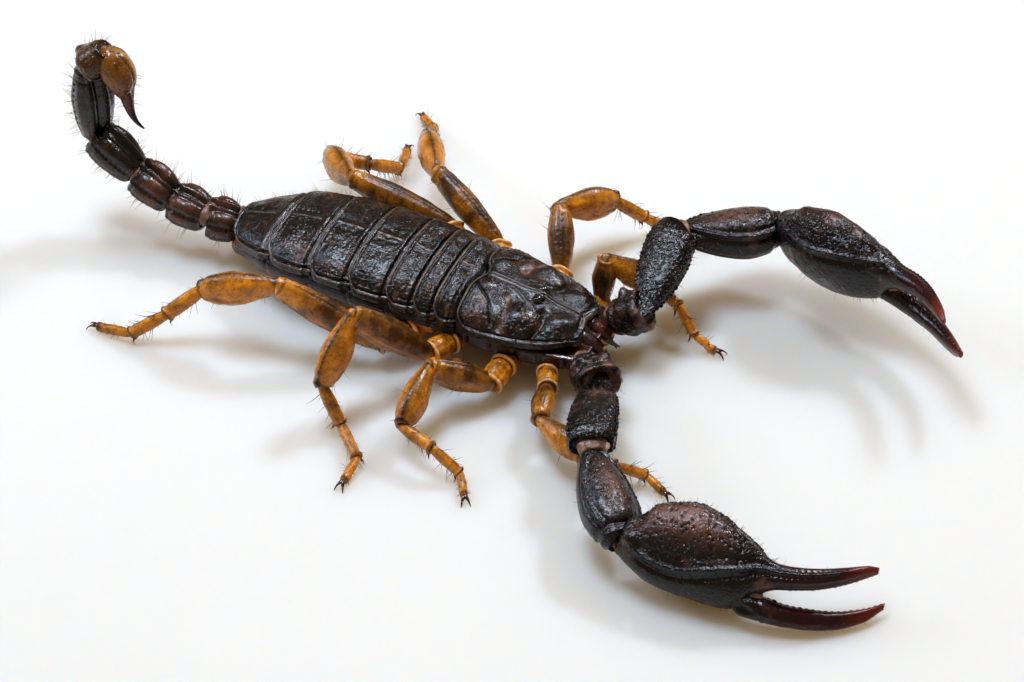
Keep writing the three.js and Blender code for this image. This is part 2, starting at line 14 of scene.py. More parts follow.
import bpy
import numpy as np
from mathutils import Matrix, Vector


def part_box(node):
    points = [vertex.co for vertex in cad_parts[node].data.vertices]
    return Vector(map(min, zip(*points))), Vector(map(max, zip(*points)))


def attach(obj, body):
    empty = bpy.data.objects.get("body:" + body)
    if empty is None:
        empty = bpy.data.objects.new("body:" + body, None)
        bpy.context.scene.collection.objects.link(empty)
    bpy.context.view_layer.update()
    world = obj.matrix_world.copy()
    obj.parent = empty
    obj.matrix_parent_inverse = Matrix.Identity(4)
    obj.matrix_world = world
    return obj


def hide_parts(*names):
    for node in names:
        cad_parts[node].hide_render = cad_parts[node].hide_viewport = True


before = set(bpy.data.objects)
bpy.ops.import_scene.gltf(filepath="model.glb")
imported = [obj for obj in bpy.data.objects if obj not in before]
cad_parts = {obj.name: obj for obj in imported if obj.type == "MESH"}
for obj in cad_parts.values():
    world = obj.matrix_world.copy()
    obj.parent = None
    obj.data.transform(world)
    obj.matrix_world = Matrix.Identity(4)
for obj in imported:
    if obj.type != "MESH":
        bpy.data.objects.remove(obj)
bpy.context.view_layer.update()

BODY = "root"
MM = 0.001
SHIELD_HIND = -0.15
COARSE = 1.0

Array = np.ndarray
Path = tuple[tuple[float, float], ...]
Pair = tuple[float, float]
Table = tuple[tuple[float, ...], ...]
Pattern = tuple[np.ndarray, list[list[int]]]
Piece = bpy.types.Object
log = logging.getLogger("scorpion")


def frame_shift() -> Array:
    """Where the animal's own frame lies in the shared frame, in millimetres."""
    low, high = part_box("carapace")
    return np.array([(low[0] + high[0]) / 2 / MM, high[1] / MM - SHIELD_HIND, 0.0])


SHIFT = frame_shift()


# ------------------------------------------------------------------ curves and noise
def hermite(knots: Array, values: Array, at: Array) -> Array:
    """Runs a smooth curve that never overshoots through values.

    Args:
        knots: Rising positions of the values, (N,).
        values: What the curve passes through, (N, D).
        at: Positions to read, (M,).

    Returns:
        The curve at those positions, (M, D).
    """
    step = np.diff(knots)[:, None]
    slope = np.diff(values, axis=0) / step
    tangent = np.zeros_like(values)
    tangent[0], tangent[-1] = slope[0], slope[-1]
    product = slope[:-1] * slope[1:]
    total = slope[:-1] + slope[1:]
    smooth = 2 * product / np.where(np.abs(total) < 1e-9, 1.0, total)
    tangent[1:-1] = np.where(product > 0, smooth, 0.0)
    cell = np.clip(np.searchsorted(knots, at, side="right") - 1, 0, len(knots) - 2)
    width = step[cell]
    t = ((at - knots[cell])[:, None] / width)
    rise = t * t * (3 - 2 * t)
    return (
        values[cell] * (1 - rise) + values[cell + 1] * rise
        + width * tangent[cell] * t * (1 - t) ** 2 + width * tangent[cell + 1] * t * t * (t - 1)
    )


def trace(path: Path, reads: Array) -> Array:
    """Points on the smooth curve through a path, read at fractions of its stops."""
    stops = np.array(path)
    return hermite(np.arange(len(stops), dtype=float), stops, reads)


def shifted(path: Path, turn: float, ahead: float = 0.0) -> Path:
    """A path beside another one, turned round the form and moved along it."""
    return tuple((along + ahead, angle + turn) for along, angle in path)


def ease(low: float, high: float, value: Array) -> Array:
    """Rises smoothly from 0 at low to 1 at high."""
    t = np.clip((value - low) / (high - low), 0, 1)
    return t * t * (3 - 2 * t)


def bell(distance: Array, width: float) -> Array:
    """A smooth hump of height 1 and this half width."""
    return np.exp(-((distance / width) ** 2))


def span(value: Array, start: float, end: float, fade: float) -> Array:
    """1 between start and end, fading to 0 outside."""
    return ease(start - fade, start + fade, value) * (1 - ease(end - fade, end + fade, value))


def dice(cell: Array, seed: int) -> Array:
    """A fixed random number from 0 to 1 for every whole-number cell, (..., 3) to (...)."""
    keys = cell.astype(np.int64)
    mixed = (keys[..., 0] * 73856093) ^ (keys[..., 1] * 19349663) ^ (keys[..., 2] * 83492791)
    mixed = (mixed ^ (seed * 2654435761)) & 0xFFFFFFFF
    for factor in (0x45D9F3B, 0x2C1B3C6D):
        mixed = ((mixed ^ (mixed >> 15)) * factor) & 0xFFFFFFFF
    return ((mixed ^ (mixed >> 16)) & 0xFFFFFF) / 0xFFFFFF


def swell_noise(points: Array, size: float, seed: int) -> Array:
    """Smooth noise from -1 to 1 with lumps of this size, over two octaves."""
    total = np.zeros(points.shape[:-1])
    for octave in range(2):
        scaled = points * (2 ** octave / size)
        base = np.floor(scaled)
        part = scaled - base
        part = part * part * (3 - 2 * part)
        value = np.zeros(points.shape[:-1])
        for corner in np.ndindex(2, 2, 2):
            step = np.array(corner)
            weight = np.prod(np.where(step == 1, part, 1 - part), axis=-1)
            value += weight * dice(base + step, seed + octave)
        total += (value * 2 - 1) * 0.6 ** octave
    return total / 1.6


def cell_noise(points: Array, size: float, seed: int) -> Array:
    """1 at the middle of scattered cells of this size, falling to 0 between them."""
    scaled = points / size
    base = np.floor(scaled)
    nearest = np.full(points.shape[:-1], 9.0)
    for corner in np.ndindex(3, 3, 3):
        cell = base + np.array(corner) - 1
        heart = cell + np.stack([dice(cell, seed + k) for k in range(3)], axis=-1)
        nearest = np.minimum(nearest, np.sum((scaled - heart) ** 2, axis=-1))
    return np.clip(1 - np.sqrt(nearest) / 0.62, 0, 1)


@dataclass(frozen=True)
class Aim:
    """Unit vectors of a piece: outward along it, sideways and up."""

    out: Array
    across: Array
    up: Array

    def ahead(self, start: Array, length: float) -> Array:
        """The point this far along from a start."""
        return start + self.out * length

    def point(self, start: Array, along: float, side: float, lift: float) -> Array:
        """A point at these distances along, across and up from a start."""
        return start + self.out * along + self.across * side + self.up * lift


def aim(angles: Pair, side: int = 1) -> Aim:
    """Aims a piece.

    Args:
        angles: Yaw, from straight ahead round to the side, and pitch, both in degrees.
        side: 1 for the animal's left, -1 for its right.

    Returns:
        The unit vectors of the piece.
    """
    a, b = math.radians(angles[0]), math.radians(angles[1])
    return Aim(
        np.array([side * math.sin(a) * math.cos(b), -math.cos(a) * math.cos(b), math.sin(b)]),
        np.array([side * math.cos(a), math.sin(a), 0.0]),
        np.array([-side * math.sin(a) * math.sin(b), math.cos(a) * math.sin(b), math.cos(b)]),
    )


def rolled(base: Aim, degrees: float) -> Aim:
    """The same aim turned about its own length."""
    turn = math.radians(degrees)
    return Aim(
        base.out,
        base.across * math.cos(turn) - base.up * math.sin(turn),
        base.up * math.cos(turn) + base.across * math.sin(turn),
    )


def upright(out: Array, across: Array, first: Aim) -> Aim:
    """The aim along out, with its sideways near across and its up on the first one's side."""
    out = out / np.linalg.norm(out)
    across = across - out * across.dot(out)
    across = across / np.linalg.norm(across)
    up = np.cross(out, across)
    return Aim(out, across, up * (1 if up.dot(first.up) > 0 else -1))


def between(first: Aim, second: Aim) -> Aim:
    """The aim half way between two, for the ring where a limb bends."""
    return upright(first.out + second.out, first.across + second.across, first)


def leaned(first: Aim, second: Aim, most: float = 20.0) -> Aim:
    """The first aim leaned half way to the second, by no more than so many degrees."""
    bend = math.degrees(math.acos(float(np.clip(first.out.dot(second.out), -1, 1))))
    share = min(0.5, most / max(bend, 1e-6))
    return upright(first.out * (1 - share) + second.out * share, first.across, first)


# ------------------------------------------------------------------ forms
@dataclass(frozen=True)
class Station:
    """One ring of a limb: its middle, its aim, half sizes and how square it is."""

    at: Array
    aim: Aim
    wide: float
    tall: float
    power: float = 2.0


@dataclass(frozen=True)
class Hoop:
    """One ring of the trunk: half width, heights of ridge, rim and belly, and squareness."""

    y: float
    half: float
    ridge: float
    rim: float
    belly: float
    top_power: float = 2.05
    low_power: float = 6.0


def profiled(
    start: Array, heading: Aim, length: float, profile: Path, wide: float, tall: float,
    power: float = 2.0,
) -> list[Station]:
    """Stations of a straight piece whose half sizes are scaled by a profile along its length."""
    return [
        Station(heading.ahead(start, share * length), heading, wide * size, tall * size, power)
        for share, size in profile]


def superellipse(angle: Array, power: Array) -> Array:
    """How far a rounded square of half size 1 reaches at each angle."""
    reach = np.abs(np.cos(angle)) ** power + np.abs(np.sin(angle)) ** power
    return reach ** (-1 / power)


class Form:
    """A closed form as a grid of rings, which features carve before it becomes a mesh."""

    CAP_STEPS = (0.25, 0.5, 0.72, 0.88, 0.97)

    def __init__(self, wall: Array, angles: Array, ends: Pair) -> None:
        """Closes a wall of rings with a cap at each end.

        Args:
            wall: The rings, (W, S, 3).
            angles: The rising angle of each column in degrees, (S,).
            ends: Height of each cap: above 0 it is domed, below 0 it is a cup.
        """
        middle = wall.mean(axis=1)
        run = np.concatenate([[0], np.cumsum(np.linalg.norm(np.diff(middle, axis=0), axis=1))])
        steps = np.array(self.CAP_STEPS)
        front, self.front_pole = self._cap(wall[0], middle[0], middle[0] - middle[1], ends[0])
        hind, self.hind_pole = self._cap(wall[-1], middle[-1], middle[-1] - middle[-2], ends[1])
        self.base = np.concatenate([front, wall, hind[::-1]])
        self.angles = angles
        self.first = len(steps)
        self.last = self.first + len(wall) - 1
        self.run = np.concatenate([np.zeros(len(steps)), run, np.full(len(steps), run[-1])])
        self.length = run[-1]
        self.along = self.run / self.length
        self.wall = np.concatenate([steps ** 2, np.ones(len(wall)), steps[::-1] ** 2])
        chord = np.linalg.norm(np.roll(self.base, -1, axis=1) - self.base, axis=2)
        self.girth = np.concatenate([np.zeros((len(chord), 1)), np.cumsum(chord, axis=1)], axis=1)
        self.normal = self._normals()
        self.relief = np.zeros(self.base.shape[:2])
        self.push = np.zeros(self.base.shape[:2])
        self.masks: dict[str, Array] = {}

    def _cap(self, ring: Array, middle: Array, away: Array, height: float) -> tuple[Array, Array]:
        """Rings of one cap from its pole out, and the pole."""
        away = away / np.linalg.norm(away)
        steps = np.array(self.CAP_STEPS)[:, None, None]
        rings = middle + (ring - middle) * steps + away * height * np.sqrt(1 - steps ** 2)
        return rings, middle + away * height

    def _normals(self) -> Array:
        """Outward directions of the base grid, square to its surface."""
        around = np.roll(self.base, -1, axis=1) - np.roll(self.base, 1, axis=1)
        along = np.gradient(self.base, axis=0)
        normal = np.cross(around, along)
        normal /= np.linalg.norm(normal, axis=2, keepdims=True) + 1e-12
        middle = self.base.mean(axis=1, keepdims=True)
        inside = np.sum(normal * (self.base - middle)) < 0
        return -normal if inside else normal

    @staticmethod
    def sweep(stations: list[Station], spacing: float, ends: Pair) -> "Form":
        """Sweeps a ring through stations.

        Args:
            stations: The rings to pass through.
            spacing: Distance between mesh points.
            ends: Heights of the two caps.

        Returns:
            The form, still smooth.
        """
        spacing *= COARSE
        middle = np.array([s.at for s in stations])
        knots = np.concatenate([[0], np.cumsum(np.linalg.norm(np.diff(middle, axis=0), axis=1))])
        values = np.array([[*s.at, *s.aim.across, *s.aim.up, s.wide, s.tall, s.power] for s in stations])
        rows = max(8, math.ceil(knots[-1] / spacing))
        read = hermite(knots, values, np.linspace(0, knots[-1], rows))
        at, across, up = read[:, 0:3], read[:, 3:6], read[:, 6:9]
        across /= np.linalg.norm(across, axis=1, keepdims=True)
        up -= across * np.sum(across * up, axis=1, keepdims=True)
        up /= np.linalg.norm(up, axis=1, keepdims=True)
        wide, tall, power = (read[:, k:k + 1] for k in (9, 10, 11))
        girth = 2 * math.pi * float(max(wide.max(), tall.max()))
        sides = int(np.clip(2 * round(girth / spacing / 2), 14, 240))
        degrees = np.arange(sides) * 360 / sides
        angle = np.radians(degrees)[None, :]
        reach = superellipse(angle, power)
        side = (reach * np.cos(angle) * wide)[..., None]
        lift = (reach * np.sin(angle) * tall)[..., None]
        wall = at[:, None] + across[:, None] * side + up[:, None] * lift
        return Form(wall, degrees, ends)

    @staticmethod
    def hooped(hoops: list[Hoop], spacing: float, ends: Pair, top_share: float = 0.8) -> "Form":
        """Runs a trunk plate through hoops, with this share of its columns above the rim."""
        spacing *= COARSE
        knots = np.array([abs(h.y - hoops[0].y) for h in hoops])
        values = np.array([
            [h.y, h.half, h.ridge, h.rim, h.belly, h.top_power, h.low_power] for h in hoops])
        rows = max(8, math.ceil(knots[-1] / spacing))
        read = hermite(knots, values, np.linspace(0, knots[-1], rows))
        y, half, ridge, rim, belly, top, low = (read[:, k:k + 1] for k in range(7))
        columns = math.ceil(math.pi * 1.15 * float(half.max()) / spacing / top_share)
        upper = round(columns * top_share)
        degrees = np.concatenate([
            np.linspace(0, 180, upper, endpoint=False),
            np.linspace(180, 360, columns - upper, endpoint=False)])
        angle = np.radians(degrees)[None, :]
        above = np.sin(angle) >= 0
        reach = superellipse(angle, np.where(above, top, low))
        height = np.where(above, ridge - rim, rim - belly)
        x = reach * np.cos(angle) * half
        z = rim + reach * np.sin(angle) * height
        return Form(np.stack([x, np.broadcast_to(y, x.shape), z], axis=2), degrees, ends)

    def column(self, angle: Array) -> Array:
        """The fractional column at each angle in degrees."""
        marks = np.append(self.angles, 360.0)
        return np.interp(np.asarray(angle, dtype=float) % 360, marks, np.arange(len(marks)))

    def around(self, angle: Array | float) -> Array:
        """Signed distance round each ring from an angle, or from one angle per ring."""
        place = np.broadcast_to(self.column(angle), (len(self.base),))
        low = np.floor(place).astype(int)
        rows = np.arange(len(self.base))
        step = self.girth[rows, low + 1] - self.girth[rows, low]
        start = self.girth[rows, low] + step * (place - low)
        whole = self.girth[:, -1:]
        distance = self.girth[:, :-1] - start[:, None]
        return distance - whole * np.round(distance / whole)

    def lengthwise(self, along: float) -> Array:
        """Signed distance of each ring from a share of the length, as a column."""
        return (self.run - along * self.length)[:, None]

    def turn_from(self, angle: float) -> Array:
        """Degrees between each column and an angle, from 0 to 180."""
        return np.abs((self.angles - angle + 180) % 360 - 180)[None, :]

    def stain(self, mask: str, amount: Array | float) -> None:
        """Adds to one of the masks that the finishes read."""
        self.masks[mask] = np.clip(self.masks.get(mask, 0) + amount + np.zeros_like(self.relief), 0, 1)

    def carve(self, *features: "Feature") -> "Form":
        """Carves features and returns the form."""
        for feature in features:
            shape = feature.shape(self)
            self.relief += shape * feature.height
            for mask in ("dark", "pale", "warm"):
                if getattr(feature, mask):
                    self.stain(mask, shape * getattr(feature, mask))
        return self

    def points(self) -> Array:
        """The carved grid, (R, S, 3)."""
        raised = self.relief * self.wall[:, None]
        heading = np.gradient(self.base.mean(axis=1), axis=0)
        heading /= np.linalg.norm(heading, axis=1, keepdims=True) + 1e-12
        moved = self.base + self.normal * raised[..., None]
        return moved + heading[:, None] * self.push[..., None]

    def spots(self, along: Array, angle: Array, grid: Array | None = None) -> Array:
        """Reads a grid at shares of the length and angles, (N, 3)."""
        grid = self.base if grid is None else grid
        rows = np.arange(self.first, self.last + 1)
        row = np.interp(along, self.along[rows], rows)
        low = np.clip(np.floor(row).astype(int), 0, len(grid) - 2)
        part = (row - low)[:, None]
        place = self.column(angle)
        left = np.floor(place).astype(int) % grid.shape[1]
        right = (left + 1) % grid.shape[1]
        lean = (place - np.floor(place))[:, None]
        near = grid[low, left] * (1 - lean) + grid[low, right] * lean
        far = grid[low + 1, left] * (1 - lean) + grid[low + 1, right] * lean
        return near * (1 - part) + far * part

    def sites(self, along: Array, angle: Array) -> tuple[Array, Array, Array]:
        """Carved points, outward directions and directions along, each (N, 3)."""
        along, angle = np.broadcast_arrays(np.atleast_1d(along), np.atleast_1d(angle))
        heading = self.base[self.last].mean(axis=0) - self.base[self.first].mean(axis=0)
        heading = np.broadcast_to(heading / np.linalg.norm(heading), (len(along), 3))
        return self.spots(along, angle, self.points()), self.spots(along, angle, self.normal), heading

    def build(self, name: str) -> Piece:
        """Makes the mesh from a ball whose rings and columns take the places of the grid.

        Args:
            name: The piece's name.

        Returns:
            The piece, at the origin with its place in its mesh.
        """
        rows, columns = self.base.shape[:2]
        deselect()
        bpy.ops.mesh.primitive_uv_sphere_add(segments=columns, ring_count=rows + 1, radius=1)
        piece = bpy.context.object
        piece.name = piece.data.name = name
        mesh = piece.data
        ball = np.empty(len(mesh.vertices) * 3, dtype=np.float32)
        mesh.vertices.foreach_get("co", ball)
        ball = ball.reshape(-1, 3).astype(float)
        ball /= np.linalg.norm(ball, axis=1, keepdims=True)
        row = np.round(np.arccos(np.clip(ball[:, 2], -1, 1)) / math.pi * (rows + 1)).astype(int) - 1
        turn = np.arctan2(ball[:, 1], ball[:, 0]) / (2 * math.pi)
        column = np.round(turn * columns).astype(int) % columns
        inner = np.clip(row, 0, rows - 1)
        place = self.points()[inner, column]
        place[row < 0] = self.front_pole
        place[row >= rows] = self.hind_pole
        mesh.vertices.foreach_set("co", ((place + SHIFT) * MM).ravel().astype(np.float32))
        for mask, amount in self.masks.items():
            layer = mesh.attributes.new(mask, "FLOAT", "POINT")
            layer.data.foreach_set("value", amount[inner, column].astype(np.float32))
        mesh.update()
        face_outwards(mesh)
        mesh.shade_smooth()
        return piece


def face_outwards(mesh: bpy.types.Mesh) -> None:
    """Turns a closed mesh right side out if its volume says that it is inside out."""
    mesh.calc_loop_triangles()
    corner = np.empty(len(mesh.loop_triangles) * 3, dtype=np.int32)
    mesh.loop_triangles.foreach_get("vertices", corner)
    place = np.empty(len(mesh.vertices) * 3, dtype=np.float32)
    mesh.vertices.foreach_get("co", place)
    place = place.reshape(-1, 3) - place.reshape(-1, 3).mean(axis=0)
    a, b, c = (place[corner.reshape(-1, 3)[:, k]] for k in range(3))
    if np.sum(a * np.cross(b, c)) < 0:
        mesh.flip_normals()


# ------------------------------------------------------------------ features
@dataclass(frozen=True)
class Feature:
    """Something carved into a form: its height in mm, and how far it stains."""

    height: float = 0.0
    # dark carries the shell's own dark marks and also painted shade laid into grooves, pits, folds and
    # along undersides; pale carries its own pale rims and also painted highlights along raised ridges and
    # rims.
    dark: float = field(default=0.0, kw_only=True)
    pale: float = field(default=0.0, kw_only=True)
    warm: float = field(default=0.0, kw_only=True)

    def shape(self, form: Form) -> Array:
        """How strongly the feature shows at each grid point, 0 to 1."""
        raise NotImplementedError

    def mirrored(self) -> "Feature":
        """The same feature on the other side of the midline."""
        turned = {name: 180 - getattr(self, name) for name in ("angle", "middle") if hasattr(self, name)}
        return replace(self, **turned)


@dataclass(frozen=True)
class Ridge(Feature):
    """A ridge along a form, or a groove if its height is below 0."""

    angle: float = 90.0
    width: float = 0.2
    start: float = 0.0
    end: float = 1.0
    beads: int = 0

    def shape(self, form: Form) -> Array:
        """A bell across the line, which may be beaded."""
        shape = bell(form.around(self.angle), self.width)
        shape = shape * span(form.along, self.start, self.end, 0.06)[:, None]
        if self.beads:
            shape = shape * (0.45 + 0.55 * np.abs(np.sin(form.along * self.beads * math.pi)))[:, None]
        return shape


@dataclass(frozen=True)
class Band(Feature):
    """A ring round a form, or part of one."""

    along: float = 0.5
    width: float = 0.2
    middle: float = 90.0
    reach: float = 200.0

    def shape(self, form: Form) -> Array:
        """A bell along the form."""
        part = 1 - ease(self.reach - 15, self.reach + 15, form.turn_from(self.middle))
        return bell(form.lengthwise(self.along), self.width) * part


@dataclass(frozen=True)
class Spot(Feature):
    """A round lump or pit."""

    along: float = 0.5
    angle: float = 90.0
    long: float = 0.3
    wide: float = 0.3

    def shape(self, form: Form) -> Array:
        """A bell both ways."""
        far = (form.lengthwise(self.along) / self.long) ** 2 + (form.around(self.angle) / self.wide) ** 2
        return np.exp(-far)


@dataclass(frozen=True)
class Crease(Feature):
    """A furrow or raised line through points given as share of length and angle."""

    width: float = 0.12
    path: Path = ()

    def shape(self, form: Form) -> Array:
        """A bell about the line, thinner towards its two ends."""
        read = np.linspace(0, len(self.path) - 1, 70)
        line = trace(self.path, read)
        marks = form.spots(line[:, 0], line[:, 1])
        fade = span(read / read[-1], 0.06, 0.94, 0.06)
        away = np.linalg.norm(form.base[:, :, None] - marks, axis=3)
        nearest = np.argmin(away, axis=2)
        return bell(away.min(axis=2), self.width) * fade[nearest]

    def mirrored(self) -> "Crease":
        """The line on the other side."""
        return replace(self, path=tuple((along, 180 - angle) for along, angle in self.path))


@dataclass(frozen=True)
class Border(Feature):
    """A line round a plate, inside both sides and one end, with round corners."""

    inset: float = 0.2
    width: float = 0.1
    side: float = 6.0
    corner: float = 1.0
    far_end: bool = True

    def shape(self, form: Form) -> Array:
        """A bell about a constant distance from the margin."""
        sides = np.where(form.angles < 90, form.around(self.side), -form.around(180 - self.side))
        end = (form.length - form.run if self.far_end else form.run)[:, None]
        near = self.corner - np.hypot(np.maximum(self.corner - end, 0), np.maximum(self.corner - sides, 0))
        inside = np.where((end < self.corner) & (sides < self.corner), near, np.minimum(end, sides))
        upper = (form.angles < 180) | (form.angles > 350)
        return bell(inside - self.inset, self.width) * upper


class Texture(Enum):
    """Kinds of grain."""

    SWELL = "swell"
    GRANULES = "granules"
    PITS = "pits"
    WRINKLES = "wrinkles"


@dataclass(frozen=True)
class Grain(Feature):
    """Grain over a form or part of one."""

    size: float = 0.5
    seed: int = 1
    kind: Texture = Texture.SWELL
    middle: float = 90.0
    reach: float = 400.0
    start: float = -1.0
    end: float = 2.0

    def shape(self, form: Form) -> Array:
        """Noise of one kind inside the part."""
        if self.kind is Texture.GRANULES:
            grain = ease(0.1, 0.75, cell_noise(form.base, self.size, self.seed))
        elif self.kind is Texture.PITS:
            grain = ease(0.32, 0.72, cell_noise(form.base, self.size, self.seed))
        elif self.kind is Texture.WRINKLES:
            grain = 1 - 2 * np.abs(swell_noise(form.base, self.size, self.seed))
        else:
            grain = swell_noise(form.base, self.size, self.seed)
        part = span(form.along, self.start, self.end, 0.05)[:, None]
        return grain * part * (1 - ease(self.reach - 20, self.reach + 20, form.turn_from(self.middle)))

    def mirrored(self) -> "Grain":
        """The grain about the mirrored angle."""
        return replace(self, middle=180 - self.middle, seed=self.seed + 50)


def both_sides(form: Form, width: float) -> Array:
    """A hump at each side margin of a plate."""
    return bell(form.around(0.0), width) + bell(form.around(180.0), width)


def both(*features: Feature) -> list[Feature]:
    """Each feature with its mirror image."""
    return [made for feature in features for made in (feature, feature.mirrored())]


# ------------------------------------------------------------------ modelling by operators
def deselect() -> None:
    """Leaves edit mode with nothing selected."""
    if bpy.context.object and bpy.context.object.mode != "OBJECT":
        bpy.ops.object.mode_set(mode="OBJECT")
    bpy.ops.object.select_all(action="DESELECT")


def edit(piece: Piece) -> None:
    """Opens a piece in edit mode with nothing in it selected."""
    deselect()
    piece.select_set(True)
    bpy.context.view_layer.objects.active = piece
    bpy.ops.object.mode_set(mode="EDIT")
    bpy.ops.mesh.select_mode(type="FACE")
    bpy.ops.mesh.select_all(action="DESELECT")


def pick(piece: Piece, wanted: Callable[[bpy.types.MeshPolygon], bool]) -> None:
    """Selects the wanted faces of a piece that is in edit mode."""
    bpy.ops.object.mode_set(mode="OBJECT")
    for face in piece.data.polygons:
        face.select = wanted(face)
    bpy.ops.object.mode_set(mode="EDIT")


def arrays(piece: Piece) -> Pattern:
    """Points and faces of a modelled piece, which is then removed."""
    deselect()
    mesh = piece.data
    place = np.array([v.co for v in mesh.vertices])
    faces = [list(face.vertices) for face in mesh.polygons]
    bpy.data.objects.remove(piece, do_unlink=True)
    return place, faces


def model_rod(sides: int, radius: float, depth: float) -> Piece:
    """Models a rod along +X and leaves it in edit mode with its far face selected."""
    deselect()
    lying = (0, math.pi / 2, 0)
    bpy.ops.mesh.primitive_cylinder_add(vertices=sides, radius=radius, depth=depth, rotation=lying)
    rod = bpy.context.object
    bpy.ops.object.transform_apply(location=False, rotation=True, scale=False)
    edit(rod)
    pick(rod, lambda face: face.normal.x > 0.9)
    return rod


def model_hook(steps: int = 7, bend: float = 120.0) -> Pattern:
    """Models one hooked claw of length 1 along +X that bends down and thins to a point."""
    hook = model_rod(8, 0.15, 0.1)
    heading = 0.6
    middle = Vector((0.05, 0, 0))
    turn = math.radians(bend / steps)
    for step in range(steps):
        heading -= turn
        move = Vector((math.cos(heading), 0, math.sin(heading))) / steps
        middle = middle + move
        bpy.ops.mesh.extrude_region_move(TRANSFORM_OT_translate={"value": move})
        bpy.ops.transform.rotate(value=turn, orient_axis="Y", center_override=middle)
        shrink = 1 - 0.12 - 0.25 * (step + 1) / steps
        bpy.ops.transform.resize(value=(shrink,) * 3, center_override=middle)
    bpy.ops.mesh.merge(type="CENTER")
    return arrays(hook)


def model_bristle(steps: int = 4) -> Pattern:
    """Models one bristle of length 1 along +X, four-sided, thinning to its tip."""
    hair = model_rod(4, 1.0, 0.02)
    middle = Vector((0.01, 0, 0))
    move = Vector((1 / steps, 0, 0))
    for step in range(steps):
        share = (step + 1) / steps
        middle = middle + move
        bpy.ops.mesh.extrude_region_move(TRANSFORM_OT_translate={"value": move})
        keep = (1 - 0.85 * share) / (1 - 0.85 * (share - 1 / steps))
        bpy.ops.transform.resize(value=(1, keep, keep), center_override=middle)
    return arrays(hair)


def model_bead() -> Pattern:
    """Models one granule of radius 1: a ball drawn up along +Z to a blunt point."""
    deselect()
    bpy.ops.mesh.primitive_ico_sphere_add(subdivisions=2, radius=1)
    bead = bpy.context.object
    edit(bead)
    pick(bead, lambda face: face.normal.z > 0.55)
    bpy.ops.transform.resize(value=(0.62, 0.62, 1.0), center_override=(0, 0, 1))
    bpy.ops.transform.translate(value=(0, 0, 0.34))
    pick(bead, lambda face: face.normal.z < -0.6)
    bpy.ops.transform.resize(value=(1.1, 1.1, 0.4), center_override=(0, 0, 0))
    return arrays(bead)


def stamped(name: str, pattern: Pattern, places: Array) -> Piece:
    """Joins many copies of one modelled shape into a mesh of its own.

    Args:
        name: The piece's name.
        pattern: Points and faces of the shape.
        places: Its points in every copy in the animal's frame, (N, P, 3).

    Returns:
        The joined piece.
    """
    faces = pattern[1]
    count, size = places.shape[:2]
    places[..., 2] = np.maximum(places[..., 2], 0.02)
    mesh = bpy.data.meshes.new(name)
    corners = np.array([corner for face in faces for corner in face])
    sizes = np.array([len(face) for face in faces])
    loops = (corners[None, :] + np.arange(count)[:, None] * size).ravel()
    mesh.vertices.add(count * size)
    mesh.vertices.foreach_set("co", ((places + SHIFT) * MM).ravel().astype(np.float32))
    mesh.loops.add(len(loops))
    mesh.loops.foreach_set("vertex_index", loops.astype(np.int32))
    totals = np.tile(sizes, count)
    mesh.polygons.add(len(totals))
    mesh.polygons.foreach_set("loop_start", np.concatenate([[0], np.cumsum(totals)[:-1]]).astype(np.int32))
    mesh.update(calc_edges=True)
    mesh.validate()
    face_outwards(mesh)
    mesh.shade_smooth()
    piece = bpy.data.objects.new(name, mesh)
    bpy.context.scene.collection.objects.link(piece)
    return piece


def joined(name: str, parts: list[Piece]) -> Piece:
    """Joins pieces into one of this name."""
    deselect()
    for part in parts:
        part.select_set(True)
    bpy.context.view_layer.objects.active = parts[0]
    if len(parts) > 1:
        bpy.ops.object.join()
    parts[0].name = parts[0].data.name = name
    return parts[0]


def basis(forward: Array, up: Array) -> tuple[Array, Array, Array]:
    """Square unit vectors along forward, sideways and up, for rows of vectors."""
    forward = forward / (np.linalg.norm(forward, axis=1, keepdims=True) + 1e-12)
    up = up - forward * np.sum(up * forward, axis=1, keepdims=True)
    up = up / (np.linalg.norm(up, axis=1, keepdims=True) + 1e-12)
    return forward, np.cross(up, forward), up


def placed(root: Array, axes: tuple[Array, ...], shape: Array) -> Array:
    """Points of copies of a shape, its x, y and z laid along three axes from each root."""
    points = root[:, None]
    for k, axis in enumerate(axes):
        points = points + axis[:, None] * shape[..., k:k + 1]
    return points


# ------------------------------------------------------------------ finishes
def linear(hex_colour: str) -> tuple[float, float, float, float]:
    """Turns an sRGB hex colour into linear RGBA."""
    parts = [int(hex_colour[k:k + 2], 16) / 255 for k in (1, 3, 5)]
    return (*[p / 12.92 if p <= 0.04045 else ((p + 0.055) / 1.055) ** 2.4 for p in parts], 1.0)


def per_metre(millimetres: float) -> float:
    """The scale of a noise whose lumps are this size, on coordinates in metres."""
    return 1 / (millimetres * MM)


def add(
    tree: bpy.types.NodeTree, kind: str, inputs: dict | None = None, **settings: object,
) -> bpy.types.Node:
    """Adds a node with its settings and links.

    Args:
        tree: The material's node tree.
        kind: The node's type, without its ShaderNode prefix.
        inputs: A constant or an output socket for each named or numbered input.
        **settings: The node's own properties.

    Returns:
        The new node.
    """
    made = tree.nodes.new(f"ShaderNode{kind}")
    for key, value in settings.items():
        setattr(made, key, value)
    for key, value in (inputs or {}).items():
        if isinstance(value, bpy.types.NodeSocket):
            tree.links.new(value, made.inputs[key])
        else:
            made.inputs[key].default_value = value
    return made


def new_material(name: str) -> tuple[bpy.types.Material, bpy.types.NodeTree]:
    """An empty node material."""
    material = bpy.data.materials.new(name)
    material.use_nodes = True
    material.node_tree.nodes.clear()
    return material, material.node_tree


